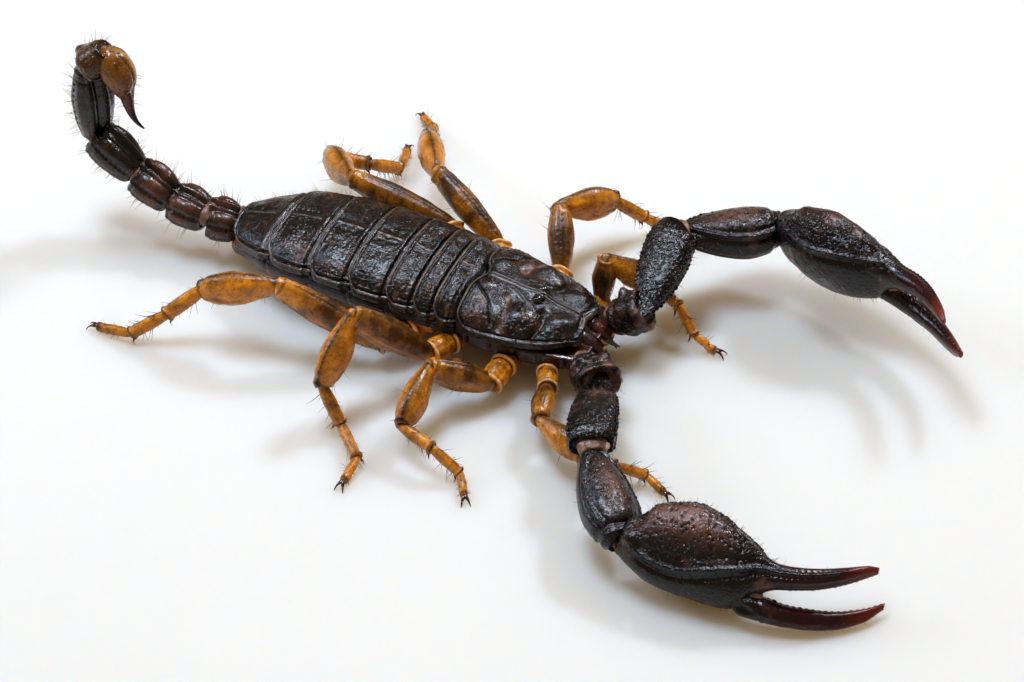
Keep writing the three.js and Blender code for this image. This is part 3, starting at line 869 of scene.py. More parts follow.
@dataclass(frozen=True)
class Cuticle:
    """Sclerotised cuticle: tanned chitin under a hard, oily, glossy outer layer.

    The thick plates are near black. Where the cuticle thins, at edges and over membranes,
    light comes through brown. Fine punctures and wrinkles break its gloss.
    """

    name: str
    body: str
    mottle: str
    # dark is the colour of the shell's own dark marks and of the painted shade in its grooves and pits;
    # pale is the colour of its own pale rims and of the painted highlights on its ridges.
    dark: str
    pale: str
    tip_mid: str = "#3a0d0b"
    tip_end: str = "#8c3a1a"
    mottle_size: float = 1.4
    mottle_low: float = 0.5
    mottle_high: float = 0.72
    gloss: Pair = (0.2, 0.42)
    pit_size: float = 0.2
    pit_depth: float = 0.02
    wrinkle_size: float = 0.3
    wrinkle_depth: float = 0.03
    coat: float = 0.3
    glow: float = 0.0
    specular: float = 0.5
    stipple: float = 0.02
    speck: str = "#000000"
    speck_share: float = 0.0

    def material(self) -> bpy.types.Material:
        """Builds the procedural material."""
        material, tree = new_material(self.name)
        place = add(tree, "TexCoord").outputs["Object"]
        cloud = add(tree, "TexNoise", {
            "Vector": place, "Scale": per_metre(self.mottle_size), "Detail": 5.0, "Roughness": 0.62})
        share = add(tree, "MapRange", {
            "Value": cloud.outputs["Fac"], "From Min": self.mottle_low, "From Max": self.mottle_high})
        warm, tip, pale, dark = (
            add(tree, "Attribute", attribute_name=mask).outputs["Fac"]
            for mask in ("warm", "tip", "pale", "dark"))
        share = add(tree, "Math", {0: share.outputs["Result"], 1: warm}, operation="ADD", use_clamp=True)
        colour = add(tree, "Mix", {
            0: share.outputs["Value"], 6: linear(self.body), 7: linear(self.mottle)}, data_type="RGBA")
        fine = add(tree, "TexNoise", {
            "Vector": place, "Scale": per_metre(0.28), "Detail": 4.0, "Roughness": 0.7})
        shade = add(tree, "MapRange", {
            "Value": fine.outputs["Fac"], "From Min": 0.3, "From Max": 0.7,
            "To Min": 0.72, "To Max": 1.28})
        colour = add(tree, "VectorMath", {
            0: colour.outputs[2], 1: shade.outputs["Result"]}, operation="MULTIPLY")
        colour = colour.outputs["Vector"]
        pits = add(tree, "TexVoronoi", {
            "Vector": place, "Scale": per_metre(self.pit_size), "Randomness": 1.0})
        if self.speck_share:
            speck = add(tree, "MapRange", {
                "Value": pits.outputs["Distance"], "From Min": 0.34, "From Max": 0.12,
                "To Max": self.speck_share})
            mixed = add(tree, "Mix", {
                0: speck.outputs["Result"], 6: colour, 7: linear(self.speck)}, data_type="RGBA")
            colour = mixed.outputs[2]
        early = add(tree, "MapRange", {"Value": tip, "From Min": 0.05, "From Max": 0.45})
        late = add(tree, "MapRange", {"Value": tip, "From Min": 0.82, "From Max": 1.0})
        # The pale and dark masks bring in the shell's own pale rims and dark marks, and also painted
        # highlights on ridges and painted shade in grooves, pits and folds.
        for mask, tone in (
            (early.outputs["Result"], self.tip_mid), (late.outputs["Result"], self.tip_end),
            (pale, self.pale), (dark, self.dark),
        ):
            mixed = add(tree, "Mix", {0: mask, 6: colour, 7: linear(tone)}, data_type="RGBA")
            colour = mixed.outputs[2]
        patch = add(tree, "TexNoise", {
            "Vector": place, "Scale": per_metre(0.9), "Detail": 3.0, "Roughness": 0.6})
        rough = add(tree, "MapRange", {
            "Value": patch.outputs["Fac"], "From Min": 0.35, "From Max": 0.68,
            "To Min": self.gloss[0], "To Max": self.gloss[1]})
        rough = add(tree, "Math", {0: warm, 1: 0.13, 2: rough.outputs["Result"]}, operation="MULTIPLY_ADD")
        dent = add(tree, "MapRange", {"Value": pits.outputs["Distance"], "From Max": 0.4})
        worn = add(tree, "MapRange", {
            "Value": tip, "From Max": 0.4, "To Min": 0.9, "To Max": 0.08}).outputs["Result"]
        wrinkle = add(tree, "TexNoise", {
            "Vector": place, "Scale": per_metre(self.wrinkle_size), "Detail": 5.0, "Roughness": 0.65,
            "Distortion": 0.6})
        relief = add(tree, "Bump", {
            "Height": wrinkle.outputs["Fac"], "Distance": self.wrinkle_depth * MM * 4,
            "Strength": 0.75})
        relief = add(tree, "Bump", {
            "Height": dent.outputs["Result"], "Distance": self.pit_depth * MM,
            "Strength": worn, "Normal": relief.outputs["Normal"]})
        stipple = add(tree, "TexNoise", {
            "Vector": place, "Scale": per_metre(0.16), "Detail": 2.0, "Roughness": 0.6})
        relief = add(tree, "Bump", {
            "Height": stipple.outputs["Fac"], "Distance": self.stipple * MM,
            "Strength": worn, "Normal": relief.outputs["Normal"]})
        shader = add(tree, "BsdfPrincipled", {
            "Base Color": colour, "Roughness": rough.outputs["Value"],
            "Normal": relief.outputs["Normal"], "IOR": 1.54, "Specular IOR Level": self.specular,
            "Coat Weight": self.coat,
            "Coat Roughness": 0.09, "Coat IOR": 1.5, "Subsurface Weight": self.glow,
            "Subsurface Radius": (1.0, 0.45, 0.15), "Subsurface Scale": 0.35 * MM})
        add(tree, "OutputMaterial", {"Surface": shader.outputs["BSDF"]})
        return material


@dataclass(frozen=True)
class Membrane:
    """Arthrodial membrane: thin, soft, untanned cuticle, creased across, cream to pink."""

    name: str = "arthrodial_membrane"
    cream: str = "#a8876e"
    pink: str = "#503c36"

    def material(self) -> bpy.types.Material:
        """Builds the procedural material."""
        material, tree = new_material(self.name)
        place = add(tree, "TexCoord").outputs["Object"]
        cloud = add(tree, "TexNoise", {
            "Vector": place, "Scale": per_metre(0.7), "Detail": 4.0, "Roughness": 0.6})
        share = add(tree, "MapRange", {"Value": cloud.outputs["Fac"], "From Min": 0.35, "From Max": 0.65})
        colour = add(tree, "Mix", {
            0: share.outputs["Result"], 6: linear(self.cream), 7: linear(self.pink)}, data_type="RGBA")
        # dark here is painted shade in the creases and grooves of the sleeves and knobs; pale is the ivory
        # of the knobs.
        dark = add(tree, "Attribute", attribute_name="dark").outputs["Fac"]
        colour = add(tree, "Mix", {0: dark, 6: colour.outputs[2], 7: linear("#2a1610")}, data_type="RGBA")
        pale = add(tree, "Attribute", attribute_name="pale").outputs["Fac"]
        colour = add(tree, "Mix", {0: pale, 6: colour.outputs[2], 7: linear("#e6d3b4")}, data_type="RGBA")
        crease = add(tree, "TexNoise", {
            "Vector": place, "Scale": per_metre(0.16), "Detail": 4.0, "Distortion": 1.2})
        relief = add(tree, "Bump", {
            "Height": crease.outputs["Fac"], "Distance": 0.06 * MM, "Strength": 0.6})
        shader = add(tree, "BsdfPrincipled", {
            "Base Color": colour.outputs[2], "Roughness": 0.3, "Normal": relief.outputs["Normal"],
            "IOR": 1.45, "Coat Weight": 0.25, "Coat Roughness": 0.12, "Subsurface Weight": 0.25,
            "Subsurface Radius": (1.0, 0.5, 0.3), "Subsurface Scale": 0.4 * MM})
        add(tree, "OutputMaterial", {"Surface": shader.outputs["BSDF"]})
        return material


@dataclass(frozen=True)
class Enamel:
    """White glazed tray: milky under a smooth glaze, so that light spreads into its shadows."""

    name: str = "white_glazed_enamel"
    white: str = "#d9d8d0"
    shade: str = "#d4d3cb"

    def material(self) -> bpy.types.Material:
        """Builds the procedural material."""
        material, tree = new_material(self.name)
        place = add(tree, "TexCoord").outputs["Object"]
        cloud = add(tree, "TexNoise", {"Vector": place, "Scale": per_metre(45.0), "Detail": 2.0})
        colour = add(tree, "Mix", {
            0: cloud.outputs["Fac"], 6: linear(self.white), 7: linear(self.shade)}, data_type="RGBA")
        relief = add(tree, "Bump", {"Height": cloud.outputs["Fac"], "Distance": 0.3 * MM, "Strength": 1.0})
        shader = add(tree, "BsdfPrincipled", {
            "Base Color": colour.outputs[2], "Roughness": 0.13, "IOR": 1.5,
            "Normal": relief.outputs["Normal"], "Subsurface Weight": 0.85,
            "Subsurface Radius": (1.0, 0.72, 0.5), "Subsurface Scale": 9.0 * MM})
        add(tree, "OutputMaterial", {"Surface": shader.outputs["BSDF"]})
        return material


@dataclass(frozen=True)
class Smooth:
    """A plain glossy finish with a soft cloud of tone: lens, horn or hair."""

    name: str
    tone: str
    second: str
    cloud_size: float
    roughness: float
    ior: float = 1.5
    coat: float = 0.0

    def material(self) -> bpy.types.Material:
        """Builds the procedural material."""
        material, tree = new_material(self.name)
        place = add(tree, "TexCoord").outputs["Object"]
        cloud = add(tree, "TexNoise", {
            "Vector": place, "Scale": per_metre(self.cloud_size), "Detail": 3.0})
        share = add(tree, "MapRange", {"Value": cloud.outputs["Fac"], "From Min": 0.35, "From Max": 0.65})
        colour = add(tree, "Mix", {
            0: share.outputs["Result"], 6: linear(self.tone), 7: linear(self.second)}, data_type="RGBA")
        shader = add(tree, "BsdfPrincipled", {
            "Base Color": colour.outputs[2], "Roughness": self.roughness, "IOR": self.ior,
            "Coat Weight": self.coat, "Coat Roughness": 0.05})
        add(tree, "OutputMaterial", {"Surface": shader.outputs["BSDF"]})
        return material


class Finish(Enum):
    """Every finish of the animal and its floor."""

    # Black shell: thick, wet-looking plate, brown where it thins. 0.2 mm punctures.
    PLATE = Cuticle(
        "black_plate_cuticle", "#040406", "#5c3a20", "#010101", "#9a826e",
        mottle_size=1.1, mottle_low=0.58, mottle_high=0.76, gloss=(0.07, 0.27), pit_size=0.2,
        pit_depth=0.03, wrinkle_size=0.4, wrinkle_depth=0.012, stipple=0.05, coat=0.12, specular=0.5)
    # Claw shell: black with a mauve-brown bloom, grained like leather, red at the finger tips.
    CLAW = Cuticle(
        "granular_claw_cuticle", "#070606", "#7a5646", "#020202", "#b09072",
        tip_mid="#2c0609", tip_end="#64200f", gloss=(0.13, 0.32), pit_size=0.24, pit_depth=0.04,
        wrinkle_size=0.4, wrinkle_depth=0.012, stipple=0.04, mottle_size=2.2, mottle_low=0.55,
        mottle_high=0.8, coat=0.08, specular=0.42)
    # Tail shell: dark red-brown with a waxy gloss.
    TAIL = Cuticle(
        "brown_tail_cuticle", "#0d0705", "#5e3a26", "#030202", "#b88a68",
        gloss=(0.16, 0.32), pit_size=0.25, pit_depth=0.012, wrinkle_size=0.3, wrinkle_depth=0.006,
        stipple=0.015, coat=0.1)
    # Belly and mouth: thinner, red-brown and glossy.
    BELLY = Cuticle(
        "brown_belly_cuticle", "#2a110a", "#5a2c18", "#0a0403", "#c79a6c",
        gloss=(0.14, 0.3), pit_size=0.25, pit_depth=0.01, wrinkle_size=0.35, wrinkle_depth=0.006,
        stipple=0.012, coat=0.12)
    # Legs: thin amber cuticle that light soaks into, with brown dots; the forms darken its edges, partly
    # dark keels and partly painted shade.
    LEG = Cuticle(
        "amber_leg_cuticle", "#d68c26", "#5e3a11", "#1a0c05", "#ecc48c",
        gloss=(0.18, 0.36), pit_size=0.35, pit_depth=0.025, wrinkle_size=0.35, wrinkle_depth=0.01,
        stipple=0.03, mottle_size=2.0, mottle_low=0.42, mottle_high=0.72, glow=0.06, speck="#4e260a",
        speck_share=0.45, coat=0.08, specular=0.42)
    # Sting bulb: amber, punctured, passing to a black-red barb.
    STING = Cuticle(
        "amber_sting_cuticle", "#7a4c12", "#40260c", "#1a1006", "#e0ac58",
        tip_mid="#4a0c06", tip_end="#0a0302", gloss=(0.16, 0.3), pit_size=0.3, pit_depth=0.06,
        wrinkle_size=0.4, wrinkle_depth=0.008, stipple=0.02, glow=0.06, coat=0.1, specular=0.4)
    MEMBRANE = Membrane()
    # Eye: a clear hard lens over black pigment.
    LENS = Smooth("eye_lens_cuticle", "#020202", "#050404", 0.5, 0.04, ior=1.6, coat=1.0)
    # Foot claws and spurs: hard dark horn, red-brown inside.
    HORN = Smooth("horny_claw_cuticle", "#4c1e0b", "#160805", 0.5, 0.22, ior=1.56, coat=0.3)
    # Bristles: thin tan hairs on the shell, darker ones on the legs.
    TAN_HAIR = Smooth("tan_bristle", "#8a5a30", "#5a3216", 0.8, 0.4)
    DARK_HAIR = Smooth("dark_bristle", "#2a1408", "#120804", 0.8, 0.4)
    ENAMEL = Enamel()


class Palette:
    """Keeps one material for each finish and dresses pieces in them."""

    def __init__(self) -> None:
        """Starts with no material made."""
        self._made: dict[Finish, bpy.types.Material] = {}

    def of(self, finish: Finish) -> bpy.types.Material:
        """The material of a finish, made when it is first asked for."""
        if finish not in self._made:
            self._made[finish] = finish.value.material()
        return self._made[finish]

    def dress(self, piece: Piece, finish: Finish) -> Piece:
        """Gives a whole piece one finish."""
        piece.data.materials.clear()
        piece.data.materials.append(self.of(finish))
        return piece


# ------------------------------------------------------------------ beads and bristles
@dataclass
class Beads:
    """Granules, teeth and tubercles that join into one mesh per sub-assembly."""

    spots: list[tuple[Array, Array, Array]] = field(default_factory=list)

    def sow(self, form: Form, along: Array, angle: Array, radius: Array | float,
        sink: float = 0.35) -> None:
        """Sets granules on a form.

        Args:
            form: The carved form.
            along: Shares of its length.
            angle: Angles round it in degrees.
            radius: Radius of each granule.
            sink: Share of the radius that stays under the surface.
        """
        place, normal, _ = form.sites(along, angle)
        size = np.broadcast_to(radius, (len(place),))
        self.spots.append((place - normal * (size * sink)[:, None], normal, size))

    def scatter(
        self, form: Form, random: np.random.Generator, count: int, along: Pair, angle: Pair,
            radius: Pair,
    ) -> None:
        """Sows granules at random: draws the shares of the length, then the angles, then the radii."""
        self.sow(form, *[random.uniform(*limits, count) for limits in (along, angle, radius)])

    def teeth(self, form: Form, start: float, end: float, angle: float, count: int) -> None:
        """Sets a row of biting teeth that shrink outward, every fourth one larger."""
        size = np.linspace(0.24, 0.14, count) * np.where(np.arange(count) % 4 == 1, 1.35, 0.9)
        self.sow(form, np.linspace(start, end, count), angle, size, sink=0.25)

    def build(self, name: str, pattern: Pattern) -> Piece:
        """Joins all granules into one piece."""
        place, normal, size = (np.concatenate(part) for part in zip(*self.spots))
        helper = np.where(np.abs(normal[:, :1]) > 0.8, np.array([[0, 1.0, 0]]), np.array([[1.0, 0, 0]]))
        up, side, other = basis(normal, helper)
        shape = pattern[0][None] * size[:, None, None]
        return stamped(name, pattern, placed(place, (other, side, up), shape))


@dataclass
class Bristles:
    """Hairs that join into one mesh, each mapped to its root's place on an unwrap of the skin."""

    TILES = 8
    PATCH = 0.003

    seed: int
    tufts: list[tuple[Array, ...]] = field(default_factory=list)

    def __post_init__(self) -> None:
        """Starts the piece's own random draws."""
        self.random = np.random.default_rng(self.seed)

    def plant(
        self, form: Form, along: Array, angle: Array, length: float, radius: float,
        lean: float = 0.5, wild: float = 0.25,
    ) -> None:
        """Plants hairs on a form.

        Args:
            form: The carved form.
            along: Shares of its length.
            angle: Angles round it in degrees.
            length: Middle length of a hair.
            radius: Radius at the root.
            lean: How far hairs lie towards the form's far end, 0 upright.
            wild: How far directions scatter.
        """
        place, normal, heading = form.sites(along, angle)
        count = len(place)
        way = normal + heading * lean + self.random.normal(0, wild, (count, 3))
        sizes = length * self.random.uniform(0.6, 1.35, count)
        tile = len(self.tufts) % (self.TILES ** 2)
        share = np.broadcast_to(np.atleast_1d(along), (count,)) % 1.0
        turn = (np.broadcast_to(np.atleast_1d(angle), (count,)) % 360) / 360
        u = (tile % self.TILES + 0.05 + 0.9 * share) / self.TILES
        v = (tile // self.TILES + 0.05 + 0.9 * turn) / self.TILES
        self.tufts.append((place - normal * 0.04, way, normal, sizes, np.full(count, radius), u, v))

    def scatter(
        self, form: Form, count: int, along: Pair, angle: Pair, length: float, radius: float,
        lean: float = 0.5,
    ) -> None:
        """Plants hairs at random: draws the shares of the length, then the angles."""
        shares, angles = (self.random.uniform(*limits, count) for limits in (along, angle))
        self.plant(form, shares, angles, length, radius, lean)

    def build(self, name: str, pattern: Pattern) -> Piece:
        """Joins all hairs into one piece with its OFBake map."""
        place, way, normal, length, radius, u, v = (np.concatenate(part) for part in zip(*self.tufts))
        forward, side, up = basis(way, normal + self.random.normal(0, 0.2, normal.shape))
        shape = np.repeat(pattern[0][None], len(place), axis=0)
        shape[..., 0] *= length[:, None]
        shape[..., 1:] *= radius[:, None, None]
        sag = self.random.uniform(-0.12, 0.2, len(place))[:, None]
        shape[..., 2] += sag * shape[..., 0] ** 2 / length[:, None]
        piece = stamped(name, pattern, placed(place, (forward, side, up), shape))
        self._map(piece.data, pattern[0], u, v)
        return piece

    def _map(self, mesh: bpy.types.Mesh, shape: Array, u: Array, v: Array) -> None:
        """Writes the OFBake map: a small patch per hair round its root's place."""
        layer = mesh.uv_layers.new(name="OFBake")
        corner = np.empty(len(mesh.loops), dtype=np.int32)
        mesh.loops.foreach_get("vertex_index", corner)
        hair, point = corner // len(shape), corner % len(shape)
        turn = np.arctan2(shape[point, 2], shape[point, 1]) / (2 * math.pi)
        spread = np.stack([shape[point, 0] - 0.5, turn], axis=1) * self.PATCH
        layer.data.foreach_set("uv",
            (np.stack([u[hair], v[hair]], axis=1) + spread).ravel().astype(np.float32))


@dataclass
class Workbench:
    """What every sub-assembly needs: finishes, modelled small shapes and coats of hair."""

    palette: Palette = field(default_factory=Palette)
    bead: tuple = field(default_factory=model_bead)
    hook: tuple = field(default_factory=model_hook)
    hair: tuple = field(default_factory=model_bristle)

    def finish(self, piece: Piece, finish: Finish, slot: str, *nodes: str) -> Piece:
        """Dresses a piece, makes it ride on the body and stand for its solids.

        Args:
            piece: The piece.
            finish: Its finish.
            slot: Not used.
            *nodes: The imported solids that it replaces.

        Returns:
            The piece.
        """
        self.palette.dress(piece, finish)
        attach(piece, BODY)
        if nodes:
            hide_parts(*nodes)
        log.info("%s: %d faces", piece.name, len(piece.data.polygons))
        return piece

    def hooks(self, name: str, places: list[tuple[Array, Array, Array, float]]) -> Piece:
        """Joins hooked claws or spurs, each given by root, heading, up and length."""
        root, heading, up, length = (np.array(part, dtype=float) for part in zip(*places))
        shape = self.hook[0][None] * length[:, None, None]
        return stamped(name, self.hook, placed(root, basis(heading, up), shape))


def joint_skin(at: Array, first: Aim, second: Aim, wide: float, tall: float, reach: float) -> Form:
    """A creased sleeve of soft membrane that bends through a joint.

    Args:
        at: The joint.
        first: Aim of the piece before it.
        second: Aim of the piece after it.
        wide: Half width at the joint.
        tall: Half height at the joint.
        reach: How far it runs into each piece.

    Returns:
        The carved form.
    """
    middle = between(first, second)
    stations = [
        Station(first.ahead(at, -reach), first, wide * 0.85, tall * 0.85),
        Station(first.ahead(at, -reach * 0.4), first, wide, tall),
        Station(at, middle, wide * 1.02, tall * 1.02),
        Station(second.ahead(at, reach * 0.4), second, wide, tall),
        Station(second.ahead(at, reach), second, wide * 0.85, tall * 0.85),
    ]
    form = Form.sweep(stations, 0.09, (0.1, 0.1))
    # Dark in the folds across the sleeve is painted shade.
    folds = [Band(-0.05, t, 0.07, dark=0.25) for t in (0.2, 0.35, 0.5, 0.65, 0.8)]
    return form.carve(*folds, Grain(0.04, 0.5, 9))


# ------------------------------------------------------------------ head
@dataclass
class Head:
    """The head shield with its eyes, the mouth claws and the breast under them."""

    shield: Table = (
        (-0.15, 4.6, 6.9, 4.6), (-2.2, 4.65, 6.75, 4.5), (-4.6, 4.35, 6.35, 4.5),
        (-7.0, 3.65, 5.9, 4.6), (-8.8, 2.75, 5.45, 4.75), (-9.5, 2.3, 5.1, 4.7))
    rim_depth: float = 0.5
    hind_notch: float = 0.75
    furrow: Path = ((0.012, 103), (0.1, 112), (0.2, 121), (0.27, 136), (0.32, 156))
    breast: Table = (
        (1.7, 3.9, 1.5), (0.0, 4.15, 1.35), (-4.0, 4.1, 1.35), (-7.5, 3.6, 1.45),
        (-9.6, 3.2, 1.7), (-10.3, 2.6, 2.0))
    breast_top: float = 4.0
    eye: Pair = (0.553, 99.5)
    eye_radius: float = 0.45
    side_eyes: tuple[tuple[float, float, float], ...] = (
        (0.955, 24.0, 0.15), (0.925, 17.0, 0.14), (0.9, 10.0, 0.11))
    mouth_x: float = 0.78
    mouth_root: Pair = (-8.8, 4.35)
    mouth_pitch: float = -32.0
    mouth_profile: Path = ((0.0, 0.75), (0.5, 0.98), (1.4, 1.05), (2.1, 0.98), (2.45, 0.78))

    def features(self) -> list[Feature]:
        """Everything carved into the shield."""
        inner: Path = shifted(self.furrow, 5, 0.022)
        groove: Path = ((0.6, 106), (0.68, 116), (0.685, 130), (0.66, 148), (0.64, 168))
        sides = both(
            # Dark in the furrows and in the dent beside the eye is painted shade; pale on the raised line
            # beside each furrow is partly its own pinkish tone and partly a painted highlight.
            Crease(-0.24, 0.12, dark=1.0, path=self.furrow),
            Crease(0.08, 0.06, pale=0.25, path=inner),
            Crease(0.14, 0.16, path=((0.28, 95), (0.38, 98), (0.5, 106.5), (0.6, 112))),
            Crease(-0.3, 0.3, path=groove),
            Crease(-0.14, 0.3, path=((0.3, 104), (0.36, 116), (0.38, 136), (0.36, 160)), warm=0.5),
            Spot(0.4, 0.83, 119, 1.05, 0.85),
            Spot(0.4, 0.5, 128, 1.2, 1.0),
            Spot(0.22, 0.13, 107, 0.5, 0.6),
            Spot(0.26, 0.16, 142, 0.9, 1.0, warm=0.6),
            Spot(-0.1, 0.36, 112, 0.8, 0.5, warm=0.1),
            Spot(-0.12, 0.57, 109, 0.45, 0.3, dark=0.6),
            Grain(0.05, 0.34, 3, kind=Texture.GRANULES, middle=160, reach=36, start=0.02, end=0.9),
            Grain(0, 0.8, 8, warm=0.7, middle=155, reach=45, start=0.0, end=0.8),
        )
        return [
            *sides,
            # Dark in the median groove, the short grooves at the hind edge, the groove behind the front
            # edge and the groove inside the rim is painted shade; pale on the median double line, the front
            # edge and the rim line is partly the shell's own pale tone and partly a painted highlight.
            Ridge(-0.09, 90, 0.05, 0.06, 0.99, dark=0.8),
            *both(Ridge(0.06, 92.0, 0.055, 0.06, 0.985, pale=0.24)),
            *both(Crease(-0.14, 0.09, dark=0.7, path=((0.005, 99), (0.035, 97.5), (0.075, 90.5)))),
            Spot(0.3, 0.55, 90, 0.9, 0.5),
            Spot(0.1, 0.02, 90, 0.22, 0.4),
            Band(0.05, 0.985, 0.12),
            Band(-0.06, 0.95, 0.14, dark=0.4),
            Band(0.05, 0.99, 0.08, reach=20, pale=0.6),
            Border(0.07, 0.12, 0.055, side=7, corner=1.3, far_end=False, pale=0.24),
            Border(-0.11, 0.33, 0.085, side=7, corner=1.2, far_end=False, dark=0.8),
            Grain(0.03, 1.3, 5),
            Grain(0.012, 0.35, 6, kind=Texture.WRINKLES),
        ]

    def shield_form(self) -> Form:
        """The carved shield, its front edge notched at the middle."""
        hoops = [Hoop(y, half, ridge, rim, rim - self.rim_depth) for y, half, ridge, rim in self.shield]
        form = Form.hooped(hoops, 0.075, (0.06, 0.12))
        form.carve(*self.features())
        front = ease(0.86, 1.0, form.along)[:, None]
        form.push -= front * 0.34 * bell(form.around(90.0), 0.75)
        corner = ease(0.8, 1.0, form.along)[:, None]
        form.push -= corner * 0.25 * both_sides(form, 0.5)
        hind = (1 - ease(0.0, 0.14, form.along))[:, None]
        form.push += hind * (self.hind_notch * bell(form.around(90.0), 1.0) + 0.3 * both_sides(form, 0.8))
        return form

    def build(self, bench: Workbench) -> None:
        """Builds and dresses the head."""
        form = self.shield_form()
        bench.finish(form.build("head_shield"), Finish.PLATE, "black_shell", "carapace")
        self._eyes(bench, form)
        self._granules(bench, form)
        self._breast(bench)
        for name, side in (("right", -1), ("left", 1)):
            self._mouth_claw(bench, name, side)

    def _granules(self, bench: Workbench, shield: Form) -> None:
        """Fine granules over the front and the flanks, and a dotted line along each furrow."""
        draw, grains = np.random.default_rng(505), Beads()
        line = trace(self.furrow, np.linspace(0.9, 4, 17))
        for side in (-1, 1):
            grains.sow(shield, line[:, 0] + 0.014, 90 + side * (line[:, 1] - 86), draw.uniform(0.05,
                0.09, 17), 0.2)
            grains.sow(shield, draw.uniform(0.04, 0.96, 190), 90 + side * draw.uniform(40, 84, 190),
                       draw.uniform(0.03, 0.06, 190))
            grains.sow(shield, draw.uniform(0.72, 0.97, 60), 90 + side * draw.uniform(4, 60, 60),
                       draw.uniform(0.03, 0.05, 60))
        bench.finish(grains.build("head_granules", bench.bead), Finish.PLATE, "black_shell")

    def _eyes(self, bench: Workbench, shield: Form) -> None:
        """Two median lenses, each in a raised dark ring, and three small ones at each corner."""
        along, angle = self.eye
        for name, side in (("right", -1), ("left", 1)):
            seat, _, _ = shield.sites(along, angle if side < 0 else 180 - angle)
            outward = aim((90, 42), side)
            centre = outward.ahead(seat[0], -0.14)
            radius = self.eye_radius
            swell = ((-0.85, 0.5), (-0.45, 0.88), (0.0, 1.0), (0.4, 0.93), (0.72, 0.68), (0.9, 0.4))
            rings = profiled(centre, outward, radius, swell, radius, radius)
            lens = Form.sweep(rings, 0.05, (0.05, 0.05))
            bench.finish(lens.build(f"median_eye_{name}"), Finish.LENS, "eye_gloss", f"eye_{name}")
            self._socket(bench, name, centre, outward)
        small = Beads()
        for along, angle, radius in self.side_eyes:
            for turned in (angle, 180 - angle):
                small.sow(shield, along, turned, radius, sink=0.25)
        bench.finish(small.build("lateral_eyes", bench.bead), Finish.LENS, "eye_gloss")

    def _socket(self, bench: Workbench, name: str, centre: Array, outward: Aim) -> None:
        """The raised ring of shell that holds a lens."""
        radius = self.eye_radius
        swell = ((-0.6, 1.42), (-0.3, 1.36), (-0.08, 1.22), (0.06, 1.04))
        rings = profiled(centre, outward, radius, swell, radius, radius)
        ring = Form.sweep(rings, 0.06, (0.02, -0.12)).carve(Grain(0.03, 0.35, 11))
        ring.stain("dark", 0.8)
        bench.finish(ring.build(f"eye_socket_{name}"), Finish.PLATE, "black_shell")

    def _breast(self, bench: Workbench) -> None:
        """The underside of the head, with a seam between the roots of each pair of legs."""
        hoops = [
            Hoop(y, half, self.breast_top, self.breast_top - 0.6, belly, 6.0, 2.4)
            for y, half, belly in self.breast]
        form = Form.hooped(hoops, 0.16, (0.2, 0.2), top_share=0.4)
        # Dark in the seams and in the middle groove is painted shade.
        seams = [Band(-0.18, t, 0.14, dark=0.9, middle=270, reach=120)
                 for t in (0.22, 0.4, 0.56, 0.72, 0.88)]
        form.carve(*seams, Ridge(-0.2, 270, 0.3, 0.1, 0.9, dark=0.8), Grain(0.06, 0.9, 15))
        bench.finish(form.build("breast"), Finish.BELLY, "brown_shell", "prosoma_base")

    def _mouth_claw(self, bench: Workbench, name: str, side: int) -> None:
        """One mouth claw: a blocky hand that hangs forward, with two hooked fingers."""
        ahead = aim((0, self.mouth_pitch))
        root = np.array([side * self.mouth_x, self.mouth_root[0], self.mouth_root[1]])
        stations = profiled(root, ahead, 1.0, self.mouth_profile, 0.68, 0.62, 2.5)
        hand = Form.sweep(stations, 0.07, (0.1, 0.12)).carve(
            # Pale along the edge ridges and the far rim is partly the claw's own paler edge and partly a
            # painted highlight; dark in the groove beside each ridge is painted shade.
            *both(Ridge(0.09, 14, 0.09, 0.1, 0.97, pale=1.0),
                  Ridge(-0.06, 32, 0.1, dark=0.6)),
            Band(0.06, 0.95, 0.08, pale=0.7, middle=30, reach=60),
            Grain(0.03, 0.5, 21))
        parts = [hand.build("hand")]
        tip = ahead.ahead(root, self.mouth_profile[-1][0])
        for inward, drop, reach, thick in ((0.24, 0.16, 1.15, 0.26), (-0.26, -0.2, 1.0, 0.22)):
            rings = []
            for step in range(6):
                t = step / 5
                at = ahead.point(tip, reach * t - 0.25, -side * inward * (1 - 1.6 * t * t),
                    drop * (1 - t * t))
                rings.append(Station(at, ahead, thick * (1 - 0.8 * t), thick * 1.25 * (1 - 0.8 * t)))
            claw = Form.sweep(rings, 0.07, (0.05, 0.03))
            claw.stain("dark", ease(0.3, 1.0, claw.along)[:, None])
            parts.append(claw.build("finger"))
        piece = joined(f"mouth_claw_{name}", parts)
        bench.finish(piece, Finish.BELLY, "brown_shell", f"chelicera_{name}")


